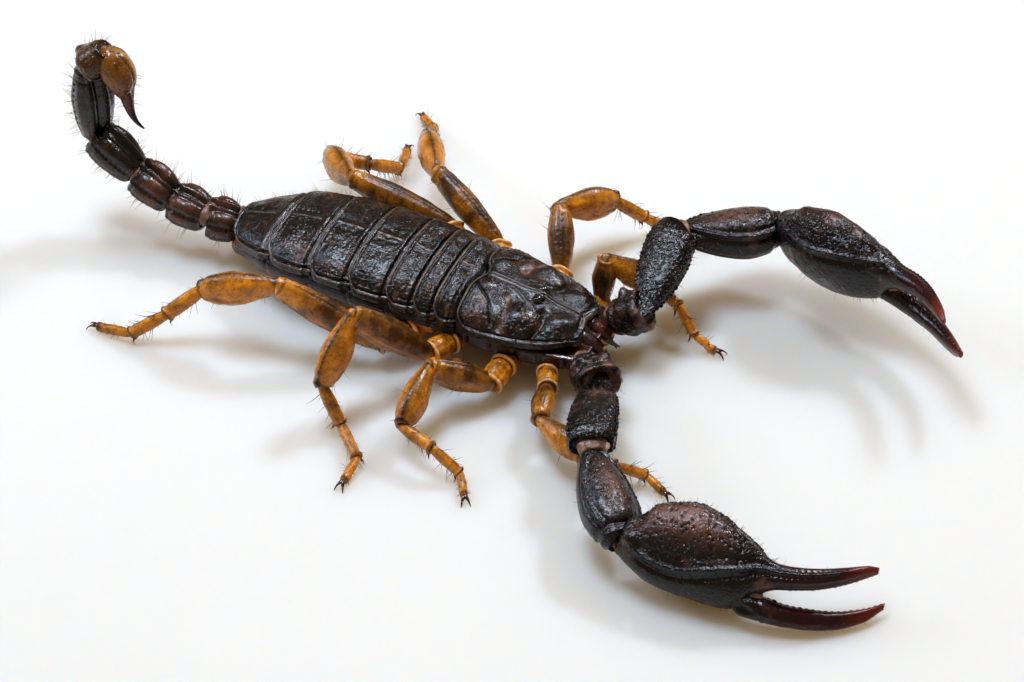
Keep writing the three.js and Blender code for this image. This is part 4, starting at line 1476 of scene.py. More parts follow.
# ------------------------------------------------------------------ trunk
@dataclass
class Trunk:
    """Seven back plates, five belly plates, the folded skin between them and the combs."""

    stations: Table = (
        (0.0, 4.6, 6.9, 4.6, 1.5), (1.8, 4.75, 6.9, 4.7, 1.6), (3.5, 4.85, 7.0, 4.8, 1.55),
        (5.8, 4.9, 7.15, 4.9, 1.5), (9.1, 4.9, 7.05, 5.0, 1.4), (12.6, 4.75, 6.7, 4.9, 1.3),
        (16.6, 4.15, 5.85, 4.45, 1.1), (20.8, 2.1, 4.3, 3.2, 0.95))
    first_belly: int = 3
    belly_inset: float = 0.3
    plate_depth: float = 0.5
    comb_y: float = 2.5
    comb_z: float = 1.2
    comb_reach: float = 4.2
    comb_sweep: float = 2.2
    comb_teeth: int = 9

    def build(self, bench: Workbench) -> None:
        """Builds and dresses the trunk."""
        coat = Bristles(seed=101)
        for number in range(1, len(self.stations)):
            form = self._back_plate(number)
            bench.finish(form.build(f"back_plate_{number}"), Finish.PLATE, "black_shell",
                         f"tergite_{number}")
            self._hairs(coat, form, number)
            if number >= self.first_belly:
                belly = self._belly_plate(number)
                bench.finish(belly.build(f"belly_plate_{number}"), Finish.BELLY, "brown_shell",
                             f"sternite_{number}")
        for name, side in (("right", -1), ("left", 1)):
            self._side_skin(bench, name, side)
        self._combs(bench)
        bench.finish(coat.build("bristles_back", bench.hair), Finish.TAN_HAIR, "amber_shell")

    def _mixed(self, number: int, share: float) -> list[float]:
        """The station values at a share of one plate's length."""
        front, hind = self.stations[number - 1], self.stations[number]
        return [a + (b - a) * share for a, b in zip(front, hind)]

    def _back_plate(self, number: int) -> Form:
        """One back plate, tucked under the plate before it and stepping over the next."""
        hoops = []
        tuck = 0.3 if number > 1 else 0.1
        for share, drop, pinch in (
            (0.0, 0.36, 0.32), (0.05, 0.2, 0.18), (0.12, 0.06, 0.06), (0.3, 0.0, -0.02),
            (0.6, -0.04, -0.06), (0.86, -0.08, -0.04), (0.96, -0.06, 0.1), (1.0, 0.04, 0.24),
        ):
            y, half, ridge, rim, _ = self._mixed(number, share)
            if share < 0.04:
                y -= tuck
            hoops.append(Hoop(y, half - pinch, ridge - drop, rim - 0.04, rim - self.plate_depth))
        form = Form.hooped(hoops, 0.08, (0.04, 0.05))
        length = form.length
        last = number == len(self.stations) - 1
        form.push -= 0.5 * ease(0.5, 1.0, form.along)[:, None] * both_sides(form, 0.8)
        if number == 1:
            form.push -= 0.8 * (1 - ease(0.0, 0.4, form.along))[:, None] * bell(form.around(90.0), 1.0)
        return form.carve(
            # Dark in the front groove, the groove inside the rim, the dimples and the side grooves is
            # painted shade; pale on the raised rim and the median line is partly the plate's own tan edging
            # and partly a painted highlight.
            Band(-0.08, 0.45 / length + 0.01, 0.09, dark=0.6),
            Band(0.05, 0.45 / length + 0.09, 0.12),
            Border(0.1, 0.16, 0.08, corner=1.2, pale=0.26),
            Border(-0.13, 0.37, 0.07, corner=1.1, dark=0.9),
            Border(0.05, 0.56, 0.11, corner=1.0),
            Ridge(0.08, 90, 0.07, 0.25, 0.85, pale=0.35, beads=4),
            *both(
                Spot(-0.06, 0.42, 115, 0.22, 0.45, dark=0.3),
                Spot(0.16 if not last else 0.05, 0.66, 131, 0.75, 1.1),
                Spot(0.08, 0.68, 106, 0.6, 0.5),
                Ridge(-0.05, 97, 0.2, 0.3, 0.85, dark=0.3),
                Grain(0, 0.8, 50 + number, warm=0.6, middle=150, reach=38),
            ),
            Grain(0.035, 1.2, 30 + number),
            Grain(0.03 if not last else 0.006, 0.3, 40 + number, kind=Texture.WRINKLES, start=0.2,
                middle=130, reach=60),
            Grain(0.022, 0.26, 60 + number, kind=Texture.GRANULES, start=0.2, middle=90, reach=110),
        )

    def _belly_hoops(self, number: int, tucks: Path) -> list[Hoop]:
        """Hoops of a plate on the underside, drawn in by a tuck at each share of its length."""
        hoops = []
        for share, tuck in tucks:
            y, half, _, rim, belly = self._mixed(number, share)
            top = rim - self.plate_depth - 0.08
            hoops.append(Hoop(y, half - self.belly_inset - tuck, top, top - 0.6, belly + tuck, 6.0, 2.2))
        return hoops

    def _belly_plate(self, number: int) -> Form:
        """One belly plate with its pair of breathing slits."""
        tucks = ((0.0, 0.1), (0.06, 0.02), (0.5, 0.0), (0.94, 0.0), (1.0, 0.06))
        form = Form.hooped(self._belly_hoops(number, tucks), 0.14, (0.05, 0.05), top_share=0.35)
        # Each slit is painted dark as the shade inside it.
        slits = [] if number > 6 else both(Spot(-0.12, 0.55, 238, 0.14, 0.42, dark=1.0))
        return form.carve(
            *slits, Band(0.05, 0.93, 0.1, pale=0.3, middle=270, reach=150),
            *both(Ridge(-0.05, 245, 0.2, 0.1, 0.9)),
            Grain(0.05, 1.1, 70 + number))

    def _side_skin(self, bench: Workbench, name: str, side: int) -> None:
        """The dark folded skin between back and belly plates on one side."""
        back = aim((180, 0))
        rings = []
        for y, half, _, rim, _ in self.stations:
            at = np.array([side * (half - 0.42), min(y, 20.3), rim - 0.72])
            rings.append(Station(at, back, 0.36, 0.42))
        form = Form.sweep(rings, 0.14, (0.1, 0.1))
        length = form.length
        # Dark in the folds and grooves of the skin is painted shade.
        folds = [Band(-0.12, y / length, 0.12, dark=0.8) for y, *_ in self.stations[1:-1]]
        outer = 180 if side > 0 else 0
        form.carve(
            *folds, Ridge(-0.14, outer, 0.08, dark=0.7),
            Ridge(-0.08, outer + 40, 0.06, dark=0.5),
            Grain(0.05, 0.5, 81, kind=Texture.WRINKLES))
        bench.finish(form.build(f"side_skin_{name}"), Finish.PLATE, "black_shell")

    def _combs(self, bench: Workbench) -> None:
        """The comb organs on their plate, each arm with a row of blunt teeth."""
        hoops = self._belly_hoops(2, ((0.0, 0.1), (0.06, 0.0), (0.94, 0.0), (1.0, 0.06)))
        plate = Form.hooped(hoops, 0.16, (0.05, 0.05), top_share=0.35).carve(Grain(0.04, 1.0, 91))
        parts = [plate.build("plate")]
        for side in (-1, 1):
            arm = aim((90, 0), side)
            rings = [
                Station(self._comb_point(side, t), arm, 0.55 * (1 - 0.5 * t * t), 0.28)
                for t in (0.0, 0.25, 0.5, 0.75, 1.0)]
            parts.append(Form.sweep(rings, 0.12, (0.1, 0.2)).carve(
                # Dark in the groove under each arm is painted shade.
                Ridge(-0.06, 270, 0.1, dark=0.5)).build("arm"))
            for tooth in range(self.comb_teeth):
                t = 0.12 + 0.86 * tooth / (self.comb_teeth - 1)
                back = aim((180 - side * 14, -6))
                root = self._comb_point(side, t) + np.array([0, 0.25, -0.02])
                size = 0.19 * (1 - 0.25 * t)
                shape = ((0, 0.9), (0.4, 1.1), (0.75, 1.0), (1.0, 0.5))
                tines = profiled(root, back, 0.9, shape, size, size * 0.8)
                parts.append(Form.sweep(tines, 0.1, (0.02, 0.05)).build("tooth"))
        bench.finish(joined("combs", parts), Finish.LEG, "amber_shell", "pectines")

    def _comb_point(self, side: int, share: float) -> Array:
        """A point on the middle line of one comb."""
        x = 0.5 + (self.comb_reach - 0.5) * share
        return np.array([side * x, self.comb_y + self.comb_sweep * share ** 2, self.comb_z])

    def _hairs(self, coat: Bristles, form: Form, number: int) -> None:
        """Sparse fine hairs along the margins, more of them on the last plates."""
        draw = coat.random
        count = 6 + 4 * max(0, number - 3)
        share = draw.uniform(0.2, 0.98, count)
        turn = np.where(draw.random(count) < 0.5, 8, 172) + draw.normal(0, 12, count)
        coat.plant(form, share, turn, 0.6, 0.018, lean=0.5)
        if number >= 5:
            top = draw.uniform(30, 80, 9)
            coat.plant(form, draw.uniform(0.3, 1, 9), top, 0.75, 0.018, lean=0.7)


# ------------------------------------------------------------------ tail
@dataclass(frozen=True)
class TailLink:
    """One tail piece: its size, aim, swelling along its length and twist of its keels."""

    length: float
    yaw: float
    pitch: float
    wide: float
    tall: float
    profile: Path
    twist: float = 0.0


SHORT_LINK: Path = ((0.0, 0.6), (0.05, 0.8), (0.16, 0.95), (0.4, 1.05), (0.7, 1.09), (0.9, 1.02),
    (0.985, 0.86))
LONG_LINK: Path = ((-0.01, 0.55), (0.06, 0.76), (0.3, 0.98), (0.55, 1.04), (0.82, 0.88), (0.95, 0.7),
    (1, 0.56))
WEDGE_LINK: Path = ((-0.02, 0.6), (0.1, 1.0), (0.26, 1.14), (0.55, 1.0), (0.82, 0.8), (1, 0.55))


@dataclass
class Tail:
    """Six tail pieces, the sting bulb with its barb, and the skin at their joints."""

    root: tuple[float, float, float] = (0.0, 21.05, 2.85)
    links: tuple[TailLink, ...] = (
        TailLink(2.5, 200, 14, 1.55, 1.4, SHORT_LINK), TailLink(3.2, 180, 9, 1.5, 1.4, SHORT_LINK),
        TailLink(3.6, 180, 28, 1.45, 1.4, SHORT_LINK), TailLink(4.4, 181, 38, 1.45, 1.42, SHORT_LINK),
        TailLink(7.1, 180, 89, 1.4, 1.4, LONG_LINK, -30),
        TailLink(2.6, 190, 126, 1.32, 1.15, WEDGE_LINK, -30))
    power: float = 2.35
    sting_length: float = 4.7
    sting_aim: Pair = (179, 249)
    sting_half: float = 1.4
    sting_profile: tuple[tuple[float, float, float], ...] = (
        (0, 0.3, 0), (0.1, 0.68, -0.08), (0.28, 0.94, -0.2), (0.48, 1.0, -0.26), (0.68, 0.86, -0.22),
        (0.86, 0.58, -0.1))
    barb_length: float = 3.1
    barb_root: float = 0.56
    barb_tip: float = 0.07
    barb_steps: int = 6
    barb_pitch: Pair = (262, 188)

    def build(self, bench: Workbench) -> None:
        """Builds and dresses the tail."""
        coat = Bristles(seed=202)
        joint = np.array(self.root)
        before = aim((180, 0))
        skins = []
        for number, link in enumerate(self.links, start=1):
            heading = aim((link.yaw, link.pitch))
            form = self._link_form(joint, heading, link, number)
            finish = Finish.STING if number == len(self.links) else Finish.TAIL
            bench.finish(form.build(f"tail_piece_{number}"), finish, "black_shell", f"tail_{number}")
            self._hairs(coat, form, link)
            half = link.wide * 0.64
            for turn in (-1, 1):
                bulge = joint + heading.up * 0.5 + heading.across * 0.38 * turn
                skins.append(joint_skin(bulge, before, heading, half, half, 0.26).build("skin"))
            joint = heading.ahead(joint, link.length)
            before = heading
        sting = self._sting_form(joint)
        bench.finish(sting.build("sting"), Finish.STING, "sting_shell", "telson")
        share = coat.random.uniform(0.05, 0.72, 34)
        coat.plant(sting, share, coat.random.uniform(0, 360, 34), 0.7, 0.02, lean=0.3)
        after = aim(self.sting_aim)
        skins.append(joint_skin(joint, before, after, 0.36, 0.32, 0.3).build("skin"))
        bench.finish(joined("tail_joint_skin", skins), Finish.MEMBRANE, "amber_shell")
        bench.finish(coat.build("bristles_tail", bench.hair), Finish.TAN_HAIR, "amber_shell")

    def _link_form(self, start: Array, heading: Aim, link: TailLink, number: int) -> Form:
        """One tail piece with its keels, dorsal trough, side pits and toothed far corners."""
        stations = profiled(start, heading, link.length, link.profile, link.wide, link.tall, self.power)
        form = Form.sweep(stations, 0.08, (0.2, -0.2))
        top = 90 + link.twist
        plain = number == len(self.links)
        bold = {4: 0.7, 5: 0.4, 6: 0.3}.get(number, 1.0)
        deep, broad = {5: (-0.5, 0.42), 6: (-0.1, 0.3)}.get(number, (-0.24, 0.17))
        offsets = (34, 88, 132) if number > 4 else (15, 66, 112)
        # The dorsal trough is painted darker the deeper it is cut: painted shade.
        keels: list[Feature] = [Ridge(deep, top, broad, 0.06, 1.05, dark=min(1, -3 * deep))]
        if plain:
            keels.append(Spot(0.4, 0.16, 250, 0.35, 0.4))
        for side in (-1, 1):
            upper, middle, lower = (top - side * offset for offset in offsets)
            keels += [
                # Dark in the grooves beside the keels is painted shade. The copper-brown on the side lobes,
                # strongest on the first three pieces, is partly the shell's own brown and partly a painted
                # copper sheen on the lobes.
                Ridge(0.16 * bold, upper, 0.13, 0.06, 0.97),
                Spot(0.28 * bold, 0.93, upper, 0.2, 0.16),
                Ridge(-0.04 * bold, upper - side * 9, 0.08, 0.1, 0.93, dark=0.25 * bold),
                Spot(0.26, 0.55, (upper + middle) / 2 - side * 2, link.length * 0.33, 0.55,
                    warm=0.62 if number < 4 else 0.12),
                Spot(0.16 * bold, 0.55, (middle + lower) / 2, link.length * 0.32, 0.42,
                    warm=0.5 if number < 4 else 0.1),
                Ridge(-0.09 * bold, middle, 0.1, 0.12, 0.92, dark=0.3 * bold),
                Ridge(0.04 * bold, middle - side * 11, 0.1, 0.08, 0.97),
                Ridge(0.08 * bold, lower, 0.12, 0.08, 0.97),
                Ridge(-0.06 * bold, lower - side * 9, 0.08, 0.1, 0.95, dark=0.4),
                Ridge(0.05 * bold, lower - side * 19, 0.08, 0.1, 0.95),
            ]
            if not plain:
                # The pits are painted dark as the shade inside them.
                pits = np.linspace(0.2, 0.82, 3 + round(link.length / 1.2))
                keels += [
                    Spot(-0.12, float(share), middle - side * 5, 0.12, 0.09, dark=1.0)
                    for share in pits]
        form.carve(
            *keels,
            Band(0.05, 0.95, 0.1, dark=0.5),
            Band(-0.05, 0.88, 0.1),
            Band(0.04, 0.07, 0.09, pale=0.2),
            Grain(0.04, 0.9, 110 + number),
            Grain(0.012, 0.4, 120 + number, kind=Texture.WRINKLES))
        mask, amount = ("warm", 0.05) if number < 4 else ("dark", 0.68 if plain else 0.5)
        form.stain(mask, amount)
        return form

    def _sting_form(self, start: Array) -> Form:
        """The bulb and its barb as one form that darkens towards the point."""
        heading = aim(self.sting_aim)
        stations = [
            Station(heading.point(start, share * self.sting_length, 0, lift), heading,
                    self.sting_half * size, self.sting_half * size)
            for share, size, lift in self.sting_profile]
        at = heading.ahead(start, self.sting_length)
        for step in range(self.barb_steps + 1):
            t = step / self.barb_steps
            pitch = self.barb_pitch[0] + (self.barb_pitch[1] - self.barb_pitch[0]) * t * t
            turned = aim((self.sting_aim[0], pitch))
            radius = self.barb_root + (self.barb_tip - self.barb_root) * t
            stations.append(Station(at, turned, radius * 0.9, radius))
            at = turned.ahead(at, self.barb_length / self.barb_steps)
        form = Form.sweep(stations, 0.085, (0.1, 0.06))
        form.carve(
            # Dark in the two grooves is painted shade; pale along the broad raised ridge is partly the
            # bulb's own paler tone and partly a painted highlight.
            Ridge(-0.05, 272, 0.13, 0.04, 0.6, dark=0.6),
            Ridge(0.03, 250, 0.25, 0.04, 0.55, pale=0.35),
            Ridge(-0.04, 40, 0.1, 0.1, 0.5, dark=0.2),
            Grain(-0.035, 0.42, 131, kind=Texture.GRANULES, end=0.6),
            Grain(0.05, 1.0, 132, end=0.6))
        form.stain("tip", ease(0.38, 0.84, form.along)[:, None])
        return form

    def _hairs(self, coat: Bristles, form: Form, link: TailLink) -> None:
        """Tan bristles along the keels."""
        count = round(14 * link.length)
        keel = coat.random.choice(np.array([-128, -82, -40, 40, 82, 128, 170]), count)
        angle = 90 + link.twist + keel + coat.random.normal(0, 6, count)
        coat.plant(form, coat.random.uniform(0.08, 0.97, count), angle, 0.9, 0.022, lean=0.35)


# ------------------------------------------------------------------ legs
@dataclass(frozen=True)
class Bone:
    """Size of one leg piece: length and half thicknesses."""

    length: float
    wide: float
    tall: float


def limb(
    start: Array, heading: Aim, bone: Bone, shape: tuple, ends: Pair,
    power: float = 2.1, spacing: float = 0.1, before: Aim | None = None, after: Aim | None = None,
) -> Form:
    """A smooth limb piece.

    Args:
        start: Its near joint.
        heading: Its aim.
        bone: Its size.
        shape: Shares of its length, each with a scale of its thickness and, if it bows, a lift.
        ends: Heights of its caps.
        power: How square it is.
        spacing: Distance between mesh points.
        before: Aim of the piece before it, to which its near end leans.
        after: Aim of the piece after it, to which its far end leans.

    Returns:
        The form, still smooth.
    """
    ways = [leaned(heading, before or heading), *[heading] * (len(shape) - 2),
        leaned(heading, after or heading)]
    stations = [
        Station(heading.point(start, share * bone.length, 0, sum(lift)), way, bone.wide * size,
                bone.tall * size, power)
        for way, (share, size, *lift) in zip(ways, shape)]
    return Form.sweep(stations, spacing, ends)


@dataclass(frozen=True)
class LegPose:
    """Yaw and pitch of each piece of one leg; the last piece only has a yaw."""

    trochanter: Pair
    femur: Pair
    patella: Pair
    tibia: Pair
    basitarsus: Pair
    telotarsus: float


FEMUR_SHAPE: Path = (
    (-0.03, 0.42), (0.03, 0.66), (0.1, 0.82), (0.3, 1.0), (0.58, 1.07), (0.84, 0.97), (0.95, 0.84),
        (1, 0.68))
PATELLA_SHAPE: Path = (
    (-0.03, 0.4), (0.04, 0.6), (0.14, 0.78), (0.34, 0.98), (0.6, 1.1), (0.8, 1.04), (0.93, 0.82), (1, 0.58))
SHIN_SHAPE: Path = ((0, 0.72), (0.08, 0.84), (0.4, 1.02), (0.86, 1.0), (0.95, 1.1), (1, 0.95))


@dataclass
class Leg:
    """One leg, from its root under the shield to its two hooked claws."""

    number: int
    name: str
    side: int
    hip: tuple[float, float, float]
    trochanter: Bone
    femur: Bone
    patella: Bone
    tibia: Bone
    basitarsus: Bone
    telotarsus: Bone
    pose: LegPose
    sole: float = 0.42
    claw: float = 1.25
    spread: float = 24.0

    def build(self, bench: Workbench, coat: Bristles) -> None:
        """Builds and dresses the leg.

        Args:
            bench: Finishes and small shapes.
            coat: The coat that takes its setae.
        """
        label = f"leg_{self.number}_{self.name}"
        hip = np.array(self.hip) * np.array([self.side, 1, 1])
        pose = self.pose
        root, thigh, shank, tibia = (
            aim(angles, self.side) for angles in (pose.trochanter, pose.femur, pose.patella, pose.tibia))
        hip_end = root.ahead(hip, self.trochanter.length)
        knee = thigh.ahead(hip_end, self.femur.length)
        shin = shank.ahead(knee, self.patella.length)
        self._root(bench, label, hip, root)
        femur = self._femur_form(hip_end, thigh, root, shank)
        bench.finish(femur.build(f"{label}_thigh"), Finish.LEG, "amber_shell")
        patella = self._patella_form(knee, shank, thigh, tibia)
        bench.finish(patella.build(f"{label}_shank"), Finish.LEG, "amber_shell", f"{label}_patella")
        foot = self._foot(bench, label, shin, coat)
        skins = [
            joint_skin(hip_end, root, thigh, self.femur.wide * 0.66, self.femur.tall * 0.62, 0.6),
            joint_skin(knee, thigh, shank, self.femur.wide * 0.56, self.femur.tall * 0.56, 0.5),
            joint_skin(shin, shank, tibia, self.tibia.wide * 0.8, self.tibia.tall * 0.85, 0.34),
            *foot]
        piece = joined(f"{label}_joint_skin", [skin.build("skin") for skin in skins])
        bench.finish(piece, Finish.MEMBRANE, "amber_shell")
        self._setae(coat, femur, patella)

    def _root(self, bench: Workbench, label: str, hip: Array, root: Aim) -> None:
        """The two short pieces between breast and thigh, with folded rims."""
        inner = np.array([self.side * 1.6, hip[1] * 0.86 - 0.6, hip[2] - 0.35])
        outward = hip + root.out * 0.25 - inner
        length = float(np.linalg.norm(outward))
        out = outward / length
        across = np.cross(np.array([0, 0, 1.0]), out)
        across /= np.linalg.norm(across)
        way = Aim(out, across, np.cross(out, across))
        bone = self.trochanter
        shape = ((0, 0.75), (0.4, 0.9), (0.8, 1.05), (0.93, 1.1), (1, 0.95))
        coxa = limb(inner, way, Bone(length, bone.wide * 0.95, bone.tall * 0.9), shape, (0.1, -0.2))
        coxa.carve(
            Band(0.07, 0.95, 0.1, pale=0.7),
            # Dark in the groove behind the rim is painted shade.
            Band(-0.07, 0.86, 0.12, dark=0.5),
            Grain(0.06, 0.8, 140 + self.number))
        shape = ((0, 0.72), (0.1, 0.88), (0.45, 1.02), (0.8, 0.98), (0.94, 0.98), (1, 0.82))
        short = limb(root.ahead(hip, 0.1), root, Bone(bone.length - 0.05, bone.wide, bone.tall), shape,
                           (0.12, -0.22))
        short.carve(
            Band(0.08, 0.93, 0.1, pale=0.65),
            # Dark in the grooves behind the rim and across the top is painted shade.
            Band(-0.08, 0.82, 0.11, dark=0.35),
            Band(-0.07, 0.3, 0.12, dark=0.25, middle=90, reach=100),
            Ridge(0.06, 90, 0.2, dark=0.35),
            *both(Ridge(-0.06, 130, 0.16)),
            Grain(0.06, 0.7, 150 + self.number))
        piece = joined(f"{label}_root", [coxa.build("coxa"), short.build("trochanter")])
        bench.finish(piece, Finish.LEG, "amber_shell", f"{label}_femur")

    def _femur_form(self, start: Array, thigh: Aim, before: Aim, after: Aim) -> Form:
        """The thigh: flat, with a dark toothed edge above and below."""
        form = limb(start, thigh, self.femur, FEMUR_SHAPE, (0.25, -0.15), 2.3, before=before, after=after)
        teeth = round(self.femur.length * 2.6)
        return form.carve(
            Ridge(0.04, 90, 0.1, 0.06, 0.97, beads=teeth),
            # The dark lower edge is partly its own dark keel and partly painted shade. The broad dark along
            # the top and underside is painted shade, heavier on the left legs. Dark in the side grooves is
            # painted shade.
            Ridge(0.06, 270, 0.1, 0.06, 0.97, dark=0.8, beads=teeth),
            Ridge(0, 90, 0.75, -0.1, 0.9, dark=0.75 if self.side > 0 else 0.6),
            Ridge(0, 270, 0.4, 0.02, 1.0, dark=0.5),
            Band(0, 0.4, self.femur.length * 0.5, warm=0.55),
            Band(0.12, 0.55, self.femur.length * 0.25),
            Grain(0, 1.6, 175 + self.number, warm=0.6),
            *both(
                Ridge(-0.06, 72, 0.14, 0.1, 0.9),
                Ridge(-0.07, 215, 0.22, 0.1, 0.9, dark=0.12),
                Ridge(0.03, 236, 0.08, 0.1, 0.92, dark=0.5),
                Spot(0.05, 0.6, 170, 1.4, 0.45),
                Spot(0.12, 0.965, 195, 0.22, 0.26, pale=0.8),
            ),
            Band(0.06, 0.965, 0.1, dark=0.65),
            Band(-0.04, 0.91, 0.1),
            Band(0.03, 0.03, 0.12, pale=0.5),
            Grain(0.05, 1.1, 160 + self.number),
            Grain(0.018, 0.3, 170 + self.number, kind=Texture.GRANULES))

    def _patella_form(self, start: Array, shank: Aim, before: Aim, after: Aim) -> Form:
        """The shank: dark edges, and a long dent with a bright fold in its far third."""
        form = limb(start, shank, self.patella, PATELLA_SHAPE, (0.3, -0.12), 2.3, before=before,
            after=after)
        teeth = round(self.patella.length * 2.4)
        return form.carve(
            # The dark along the top and bottom edges is partly its own dark keels and partly painted shade;
            # dark in the long dent is painted shade.
            Ridge(0.05, 90, 0.1, 0.05, 0.97, dark=0.3, beads=teeth),
            Ridge(0.06, 270, 0.1, 0.05, 0.97, dark=0.8, beads=teeth),
            Ridge(0, 90, 0.36, 0.0, 1.0, dark=0.6),
            Ridge(0, 270, 0.42, 0.0, 1.0, dark=0.65),
            Band(0.2, 0.56, self.patella.length * 0.27),
            *both(
                Crease(-0.13, 0.2, dark=0.1, path=((0.4, 205), (0.6, 200), (0.78, 190), (0.93, 200))),
                Crease(0.08, 0.13, path=((0.5, 188), (0.68, 184), (0.82, 174), (0.93, 178))),
                Ridge(-0.05, 130, 0.2, 0.1, 0.85),
                Ridge(0.02, 236, 0.08, 0.1, 0.95, dark=0.4),
            ),
            Band(0.07, 0.965, 0.1, dark=0.8),
            Band(-0.05, 0.9, 0.12),
            Spot(0.08, 0.95, 90, 0.2, 0.25, dark=0.25),
            Band(0.03, 0.03, 0.12, dark=0.5),
            Grain(0.05, 1.1, 180 + self.number),
            Grain(0.015, 0.34, 190 + self.number, kind=Texture.GRANULES))

    def _foot(self, bench: Workbench, label: str, shin: Array, coat: Bristles) -> list[Form]:
        """Shin and both foot pieces, spurs and claws; returns the skins of its joints."""
        tibia, basitarsus = (aim(a, self.side) for a in (self.pose.tibia, self.pose.basitarsus))
        ankle = tibia.ahead(shin, self.tibia.length)
        heel = basitarsus.ahead(ankle, self.basitarsus.length)
        drop = math.degrees(math.asin((self.sole - heel[2]) / self.telotarsus.length))
        last = aim((self.pose.telotarsus, drop), self.side)
        toe = last.ahead(heel, self.telotarsus.length)
        level = aim((self.pose.telotarsus, 0), self.side)
        parts = []
        for start, way, bone, count in (
            (shin, tibia, self.tibia, 9), (ankle, basitarsus, self.basitarsus, 12),
        ):
            form = limb(start, way, bone, SHIN_SHAPE, (0.08, -0.1), 2.1, 0.085)
            form.carve(
                Band(0.05, 0.95, 0.08, dark=0.75),
                Band(-0.03, 0.86, 0.1, pale=0.12),
                # The dark along the top and bottom edges is partly its own dark keels and partly painted
                # shade.
                Ridge(0.03, 90, 0.12, dark=0.4),
                Ridge(0.03, 270, 0.12, dark=0.6),
                Ridge(0.02, 235, 0.08, dark=0.3),
                Grain(0.03, 0.7, 200 + self.number))
            parts.append(form.build("shin"))
            share = coat.random.uniform(0.12, 0.97, count)
            angle = coat.random.choice(np.array([90, 270, 300, 240]), count) + coat.random.normal(0, 16,
                count)
            coat.plant(form, share, angle, 0.95, 0.03, lean=0.75, wild=0.2)
            coat.scatter(form, 14, (0.1, 0.97), (0, 360), 0.4, 0.017)
        parts.append(self._last_piece(heel, last, level, toe, coat))
        claws = [self._claw_place(toe, turn) for turn in (-self.spread, self.spread)]
        spurs = [
            (way.ahead(at, -0.12) - way.up * bone.tall * 0.7 + way.across * turn * bone.wide * 0.7,
             way.out * 0.9 - way.up * 0.5 + way.across * turn * 0.8, way.up, 0.62)
            for at, way, bone in ((ankle, tibia, self.tibia), (heel, basitarsus, self.basitarsus))
            for turn in (-1, 1)]
        foot = joined(f"{label}_shin_and_foot", parts)
        bench.finish(foot, Finish.LEG, "amber_shell", f"{label}_foot")
        bench.finish(bench.hooks(f"{label}_claws", claws + spurs), Finish.HORN, "amber_shell")
        return [
            joint_skin(ankle, tibia, basitarsus, self.basitarsus.wide * 0.84,
                self.basitarsus.tall * 0.84, 0.22),
            joint_skin(heel, basitarsus, last, self.telotarsus.wide * 0.84, self.telotarsus.tall * 0.84,
                0.2)]

    def _claw_place(self, toe: Array, turn: float) -> tuple[Array, Array, Array, float]:
        """Root, heading, up and length of one claw."""
        way = aim((self.pose.telotarsus + turn, 0), self.side)
        return way.ahead(toe, -0.08) + np.array([0, 0, 0.02]), way.out, way.up, self.claw * 1.04

    def _last_piece(self, heel: Array, last: Aim, level: Aim, toe: Array, coat: Bristles) -> Piece:
        """The last foot piece, which comes down to a flat sole."""
        bone = self.telotarsus
        stations = [
            Station(heel, last, bone.wide * 0.72, bone.tall * 0.72),
            Station(last.ahead(heel, bone.length * 0.12), last, bone.wide * 0.9, bone.tall * 0.9),
            Station(last.ahead(heel, bone.length * 0.5), last, bone.wide, bone.tall),
            Station(level.ahead(toe, -0.5), level, bone.wide * 0.98, self.sole - 0.02),
            Station(level.ahead(toe, -0.12), level, bone.wide * 0.9, self.sole - 0.01),
            Station(toe, level, bone.wide * 0.62, self.sole * 0.6)]
        form = Form.sweep(stations, 0.085, (0.06, 0.05)).carve(
            # The dark along the top is partly its own keel and partly painted shade.
            Ridge(0.02, 90, 0.1, dark=0.35),
            Band(0.0, 0.94, 0.16, dark=0.7),
            Grain(0.02, 0.6, 210 + self.number, end=0.7))
        coat.scatter(form, 16, (0.2, 0.95), (180, 360), 0.4, 0.018)
        coat.scatter(form, 5, (0.3, 0.95), (20, 160), 0.55, 0.02)
        return form.build("last")

    def _setae(self, coat: Bristles, femur: Form, patella: Form) -> None:
        """Short stiff setae along the edges of thigh and shank."""
        for form, count in ((femur, 18), (patella, 20)):
            edge = coat.random.choice(np.array([90, 270, 262]), count) + coat.random.normal(0, 9, count)
            coat.plant(form, coat.random.uniform(0.08, 0.98, count), edge, 0.5, 0.018, lean=0.6)
            coat.scatter(form, 5, (0.5, 0.98), (0, 360), 0.85, 0.022)


